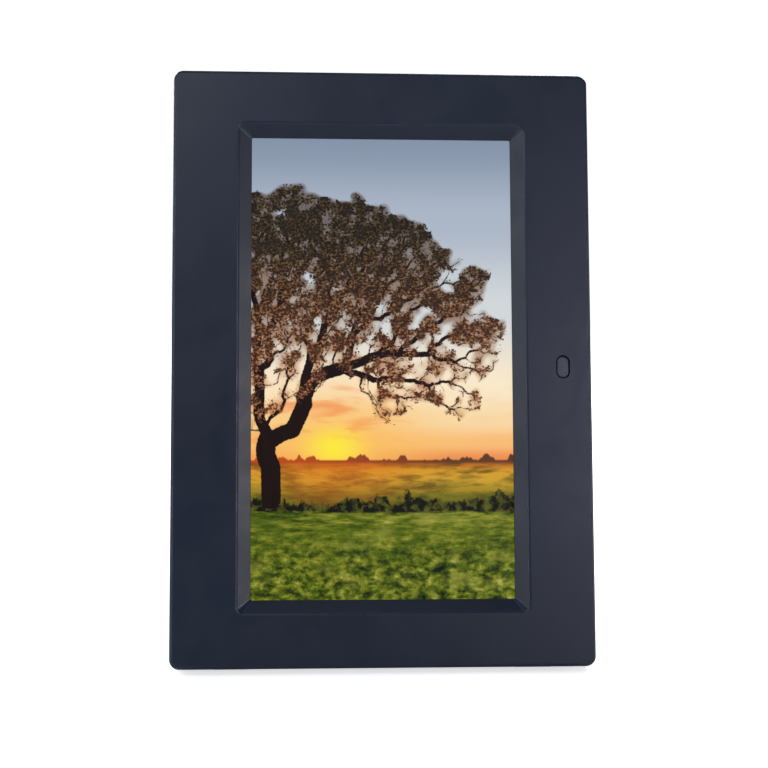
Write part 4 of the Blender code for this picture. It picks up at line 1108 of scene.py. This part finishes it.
def key_mesh(node):
    """A key's cap with a flange under the cover and a softly dished top."""
    low, high = box_of(node)
    centre = xz((low + high) / 2)
    cap = rounded_solid(about(
        (high.x - low.x) / 2 - FLANGE_REACH, (high.z - low.z) / 2 - FLANGE_REACH,
        (FLANGE_REACH - 0.0002, FLANGE_FRONT, 0.0012, 0),
        (FLANGE_REACH, FLANGE_FRONT, 0.0014, 0),
        (FLANGE_REACH, FLANGE_BACK, 0.0014, 0),
        (0, FLANGE_BACK, 0.0012, 0),
        (0, high.y, 0.0012, 0.0006),
        (-0.0016, high.y - 0.00005, 0.0008, 0),
        (-0.0026, high.y - 0.00022, 0.0004, 0),
    ), centre, corner_steps=6)
    return join(cap, drum(0.0016, low.y, FLANGE_FRONT + 0.0003, centre, steps=20))


ARROW_R = 0.0012
BAR_PITCH = 0.0012


def arrow(spot, turn, low, high):
    """A small triangle that points along turn, in degrees from +x."""
    corners = [math.radians(turn + corner) for corner in (0, 128, 232)]
    outline = [(spot.x + ARROW_R * math.cos(c), spot.z + ARROW_R * math.sin(c)) for c in corners]
    return extruded(outline, low, high, 1)


def key_marks(number, spot, top):
    """Raised marks: three bars, two arrows, a disc and a square."""
    low, high = top - 0.0006, top - 0.00004
    if number == 1:
        bars = [(spot.x, spot.z + step * BAR_PITCH) for step in (-1, 0, 1)]
        return [block(bar, 0.0003, 0.0003, low, high, TINY_CORNER) for bar in bars]
    if number == 2:
        return [arrow(spot, 90, low, high)]
    if number == 3:
        return [drum(0.0010, low, high, xz(spot))]
    if number == 4:
        return [arrow(spot, -90, low, high)]
    return [block(xz(spot), 0.0008, 0.0008, low, high, 1e-4)]


def make_keys():
    """Five key caps with their marks, and the slide switch's knob."""
    for number in range(1, 6):
        node = f"button_{number}"
        body = f"key_{number}"
        piece(f"key_cap_{number}", key_mesh(node), looks["key"], body, [node])
        marks = merged(*key_marks(number, middle(node), box_of(node)[1].y))
        piece(f"key_mark_{number}", marks, looks["print"], body)
    node = "power_switch_knob"
    piece("slide_knob", knob_mesh(node), looks["key"], "power_slider", [node])


def knob_mesh(node):
    """The slide switch's knob: a grooved cap on a narrow stem."""
    low, high = box_of(node)
    spot = middle(node)
    cap = soft_block((low.x, low.y + 0.0013, low.z), high, 0.0004, edge_back=0.00025)
    stem = block(xz(spot), 0.0008, 0.0015, low.y, low.y + 0.002, TINY_CORNER)
    half = (high.x - low.x) / 2 + PAST
    grooves = [block((spot.x, spot.z + step * 0.0012), half, 0.0002, high.y - 0.00035, high.y + PAST,
                     TINY_CORNER) for step in (-1, 0, 1)]
    return cut(join(cap, stem), *grooves)


THREADS = 7
SHANK_R = 0.0010
ROOT_R = 0.00085
HEAD_T = 0.0011
CROSS_HALF_W, CROSS_DEPTH = 0.00032, 0.0007


def screw_mesh(node):
    """A pan-head screw with a cross recess."""
    low, high = box_of(node)
    spot = xz((low + high) / 2)
    head_r = (high.x - low.x) / 2
    seat = high.y - HEAD_T
    profile = [(0.0001, low.y), (0.0006, low.y + 0.0002), (SHANK_R, low.y + 0.0012)]
    pitch = (seat - low.y - 0.002) / THREADS
    for turn in range(THREADS):
        start = low.y + 0.0014 + turn * pitch
        profile += [(ROOT_R, start), (SHANK_R, start + pitch / 2)]
    profile += [
        (SHANK_R, seat), (head_r - 0.0002, seat), (head_r, seat + 0.0002), (head_r, high.y - 0.0005),
        (head_r - 0.0003, high.y - 0.0002), (head_r - 0.0010, high.y), (0.0002, high.y),
    ]
    arm = head_r * 0.62
    cross = [block(spot, half_w, half_h, high.y - CROSS_DEPTH, high.y + PAST, 5e-5)
             for half_w, half_h in ((arm, CROSS_HALF_W), (CROSS_HALF_W, arm))]
    return cut(turned(profile, spot, 40), *cross)


STRIP_PITCH, STRIP_HALF_W = 0.0023, 0.0005
STRIP_TOP, STRIP_FOOT = 0.0014, 0.0080  # below the socket's mouth
TONGUE_SHARE = 0.11  # of the socket's depth, from its middle to the tongue's face


def make_sockets():
    """Plated shells and their contacts, standing in the cover's upper wall."""
    for node in ("sd_card_slot", "usb_a_socket", "mini_usb_socket"):
        copy_softened(node, "housing", looks["socket"], 0.00012, 2, node + "_shell")
    copy_softened("dc_inlet", "housing", looks["component"], 0.00015, 2, "dc_inlet_body")
    low, high = box_of("usb_a_socket")
    mid = (low + high) / 2
    face = mid.y - (high.y - low.y) * TONGUE_SHARE
    strips = []
    for step in (-1.5, -0.5, 0.5, 1.5):
        x = mid.x + step * STRIP_PITCH
        strips.append(soft_block((x - STRIP_HALF_W, face - 0.00012, high.z - STRIP_FOOT),
                                 (x + STRIP_HALF_W, face + 0.00002, high.z - STRIP_TOP), TINY_CORNER))
    piece("usb_contacts", merged(*strips), looks["contact"], "housing")


def make_back():
    """The cover and its four screws."""
    piece("cover", cover_mesh(), looks["cover"], "housing", ["rear_cover"], sharp=35)
    for number in range(1, 5):
        node = f"cover_screw_{number}"
        piece(f"back_screw_{number}", screw_mesh(node), looks["screw"], "housing", [node])


# The stand --------------------------------------------------------------------------------------
HINGE = FRAME_PLACE.inverted() @ Vector(joints["leg_hinge"]["pos_m"])
DISC_FRONT = 0.0213
DISC_BACK = 0.0243
HUB_R = 0.0070
EAR_R, EAR_W = 0.0034, 0.0045
EAR_X = 0.0128
BORE_R = 0.00145
DETENT_R = 0.0180
KNUCKLE_R = 0.0030
KNUCKLE_HALF_W = 0.0125
BLADE_FRONT, BLADE_BACK = -0.0026, 0.0014
NECK_HALF_W, SHOULDER_HALF_W = 0.0120, 0.0180
TOE_HALF_W, TOE_R = 0.0220, 0.0060
SHOULDER = 0.0125
PANEL_HALF_W, PANEL_TOP, PANEL_DEPTH = 0.0130, -0.0180, 0.0010
RIB_PITCH = 0.0065


def disc_mesh():
    """The turntable, with a stepped rim, a finger groove, a hub, the hinge ears and four marks."""
    front, back = DISC_FRONT, DISC_BACK
    disc = turned([
        (0.0001, DISC_LOW.y), (HUB_R - 0.0002, DISC_LOW.y), (HUB_R, DISC_LOW.y + 0.0002), (HUB_R, front),
        (DISC_R - 0.0003, front), (DISC_R, front + 0.0003), (DISC_R, back - 0.0006),
        (DISC_R - 0.0002, back - 0.0002), (DISC_R - 0.0006, back), (0.0218, back),
        (0.0215, back - 0.0004), (0.0207, back - 0.0004), (0.0204, back), (0.0002, back),
    ], (0.0, MID_Z), 128)
    for near in (-EAR_X - EAR_W, EAR_X):
        disc = join(disc, ear_mesh(near, near + EAR_W))
    disc = cut(disc, along_x(drum(BORE_R, -0.0163, 0.0163), HINGE))
    marks = []
    for turn in range(4):
        spin = turn * math.pi / 2
        at = (DETENT_R * math.sin(spin), MID_Z + DETENT_R * math.cos(spin))
        marks.append(drum(0.0007, back - 0.0003, back + PAST, at, steps=20))
    return cut(disc, *marks)


def ear_mesh(near, far):
    """A lug with a round end about the hinge axis, standing on the disc."""
    base = DISC_BACK - 0.0008
    sides = arc((HINGE.y, HINGE.z), EAR_R, -90, 90, 16)
    outline = [(base, HINGE.z - EAR_R)] + sides + [(base, HINGE.z + EAR_R)]
    return extruded(outline, near, far, 0, 0.0004)


def leg_mesh():
    """The leg: a flared blade with a sunk panel and ribs, and the knuckle at its top."""
    tip = box_of("stand_leg", LEG_PLACE)[0].z + 0.0030
    right = [(NECK_HALF_W, 0.0), (NECK_HALF_W, -0.0040)]
    right += arc((NECK_HALF_W + 0.0030, -0.0050), 0.0030, 180, 215, 4)
    right += [(SHOULDER_HALF_W, -SHOULDER)]
    right += arc((TOE_HALF_W - TOE_R, tip + TOE_R), TOE_R, 0, -90, 10)
    left = [(-x, z) for x, z in reversed(right)]
    leg = extruded(right + left, BLADE_FRONT, BLADE_BACK, 1, 0.0006)
    half, step = KNUCKLE_HALF_W, 0.0004
    knuckle = turned([(KNUCKLE_R - step, -half), (KNUCKLE_R, -half + step),
                      (KNUCKLE_R, half - step), (KNUCKLE_R - step, half)], steps=48)
    leg = join(leg, along_x(knuckle, (0, 0, 0)))
    leg = join(leg, block((0.0, tip), 0.0130, 0.0030, -0.0015, 0.0003, 2e-4))
    leg = cut(leg, along_x(drum(BORE_R, -0.02, 0.02), (0, 0, 0)))
    panel_low = tip + 0.0080
    panel_z, panel_half = (PANEL_TOP + panel_low) / 2, (PANEL_TOP - panel_low) / 2
    panel = flared_hole((0.0, panel_z), PANEL_HALF_W, panel_half, BLADE_BACK - PANEL_DEPTH, BLADE_BACK,
                        0.0020, 0.0005)
    ribs = [block((side * RIB_PITCH, panel_z), 0.0005, panel_half - 0.0025, BLADE_BACK - 0.0014,
                  BLADE_BACK - 0.0004, 4e-4, edge_back=0.0002) for side in (-1, 0, 1)]
    return join(cut(leg, panel), *ribs)


def make_stand():
    """The turntable, the leg, its pin and its toe pad."""
    piece("turntable_disc", disc_mesh(), looks["cover"], "turntable", ["stand_disc"], sharp=35)
    piece("leg_blade", leg_mesh(), looks["cover"], "leg", ["stand_leg"], LEG_PLACE, 35)
    low, high = box_of("leg_hinge_pin", LEG_PLACE)
    pin = drum((high.z - low.z) / 2, low.x, high.x, edge=0.0003, steps=40)
    pin = along_x(pin, (0, 0, 0))
    piece("hinge_pin", pin, looks["steel"], "leg", ["leg_hinge_pin"], LEG_PLACE)
    copy_softened("leg_toe_pad", "leg", looks["rubber"], 0.0005)


# The inside keeps its CAD shapes, with finished surfaces ------------------------------------------
def finish_inside():
    """Gives every CAD node the look of its material slot."""
    for name, node in frame["nodes"].items():
        node.data.materials.clear()
        node.data.materials.append(looks[slot_of[name]])


# Camera, light and floor ------------------------------------------------------------------------
CAMERA_PLACE = (-0.03169, -0.54198, 0.15253)
CAMERA_HEADING = math.radians(3.495)  # to the right of straight ahead
CAMERA_PITCH = math.radians(-6.428)
CAMERA_ROLL = math.radians(0.478)
LENS = 75.0  # in millimetres, on a sensor 36 mm wide


def add_camera():
    """At the height of the upper picture, a little to the left, looking slightly down."""
    camera = bpy.data.cameras.new("camera")
    camera.sensor_width = 36.0
    camera.lens = LENS
    camera.clip_start = 0.01
    rig = bpy.data.objects.new("camera", camera)
    scene.collection.objects.link(rig)
    turn = Matrix.Rotation(-CAMERA_HEADING, 4, "Z") @ Matrix.Rotation(math.pi / 2 + CAMERA_PITCH, 4, "X")
    rig.matrix_world = Matrix.Translation(CAMERA_PLACE) @ turn @ Matrix.Rotation(CAMERA_ROLL, 4, "Z")
    scene.camera = rig


def softbox(name, azimuth, elevation, distance, size, power, colour=(1.0, 1.0, 1.0)):
    """A panel of light that faces the frame. Azimuth 0 is in front, and grows to the right."""
    light = bpy.data.lights.new(name, "AREA")
    light.shape = "RECTANGLE"
    light.size, light.size_y = size
    light.energy = power
    light.color = colour
    panel = bpy.data.objects.new(name, light)
    scene.collection.objects.link(panel)
    turn, rise = math.radians(azimuth), math.radians(elevation)
    aim = Vector((0, 0, MID_Z))
    way = Vector((math.sin(turn) * math.cos(rise), -math.cos(turn) * math.cos(rise), math.sin(rise)))
    facing = way.to_track_quat("Z", "Y").to_matrix().to_4x4()
    panel.matrix_world = Matrix.Translation(aim + way * distance) @ facing


def add_floor():
    g = Graph("pale_floor")
    tone = g.noise(9.0, 3.0)
    g.set("Base Color", g.mix(tone, (0.90, 0.90, 0.90, 1), (0.93, 0.93, 0.93, 1)))
    g.set("Roughness", g.span(tone, 0.3, 0.7, 0.75, 0.85))
    g.set("Specular IOR Level", 0.2)
    seen = g.add("ShaderNodeLightPath").outputs["Is Camera Ray"]
    g.set("Emission Color", (1.0, 1.0, 1.0, 1.0))
    far = g.wired("ShaderNodeVectorMath", "Value", {0: g.object_place}, operation="LENGTH")
    g.set("Emission Strength", g.times(seen, g.span(far, 0.1, 0.9, 0.66, 0.95)))
    mesh = mesh_of(lambda bm: bmesh.ops.create_grid(bm, x_segments=2, y_segments=2, size=6.0))
    mesh.materials.append(g.material)
    floor = bpy.data.objects.new("floor", mesh)
    scene.collection.objects.link(floor)


def add_world():
    """An even studio. The camera sees it pure white; the frame is lit by a dimmer one."""
    world = bpy.data.worlds.new("studio")
    world.use_nodes = True
    nodes, links = world.node_tree.nodes, world.node_tree.links
    seen, felt = nodes["Background"], nodes.new("ShaderNodeBackground")
    lights = ((seen, 1.05, (1.0, 1.0, 1.0, 1.0)), (felt, 0.15, (0.72, 0.86, 1.0, 1.0)))
    for light, strength, colour in lights:
        light.inputs["Strength"].default_value = strength
        light.inputs["Color"].default_value = colour
    blend = nodes.new("ShaderNodeMixShader")
    links.new(nodes.new("ShaderNodeLightPath").outputs["Is Camera Ray"], blend.inputs["Fac"])
    links.new(felt.outputs[0], blend.inputs[1])
    links.new(seen.outputs[0], blend.inputs[2])
    links.new(blend.outputs[0], nodes["World Output"].inputs["Surface"])
    scene.world = world


add_camera()
add_world()
add_floor()
softbox("right_softbox", 74, 6, 0.9, (0.4, 0.3), 2.0, (1.0, 0.95, 0.97))
softbox("left_softbox", -70, 14, 1.0, (0.4, 0.6), 2.1, (0.94, 0.97, 1.0))
softbox("left_strip", -40, 14, 1.2, (0.12, 0.7), 2.4, (0.90, 0.95, 1.0))
softbox("right_fill", 22, 15, 1.6, (0.20, 0.20), 4.5, (0.88, 0.87, 1.0))
softbox("upper_left_fill", -17, 36, 1.5, (0.20, 0.20), 3.5, (0.92, 0.92, 1.0))
softbox("overhead", 0, 76, 1.2, (0.5, 0.25), 0.7, (0.86, 0.93, 1.0))
softbox("back_left", 152, 34, 1.2, (0.6, 0.6), 12.0)
softbox("back_right", 222, 22, 1.2, (0.4, 0.8), 10.0)
scene.view_settings.view_transform = "Standard"

finish_inside()
make_front()
make_back()
make_keys()
make_sockets()
make_stand()
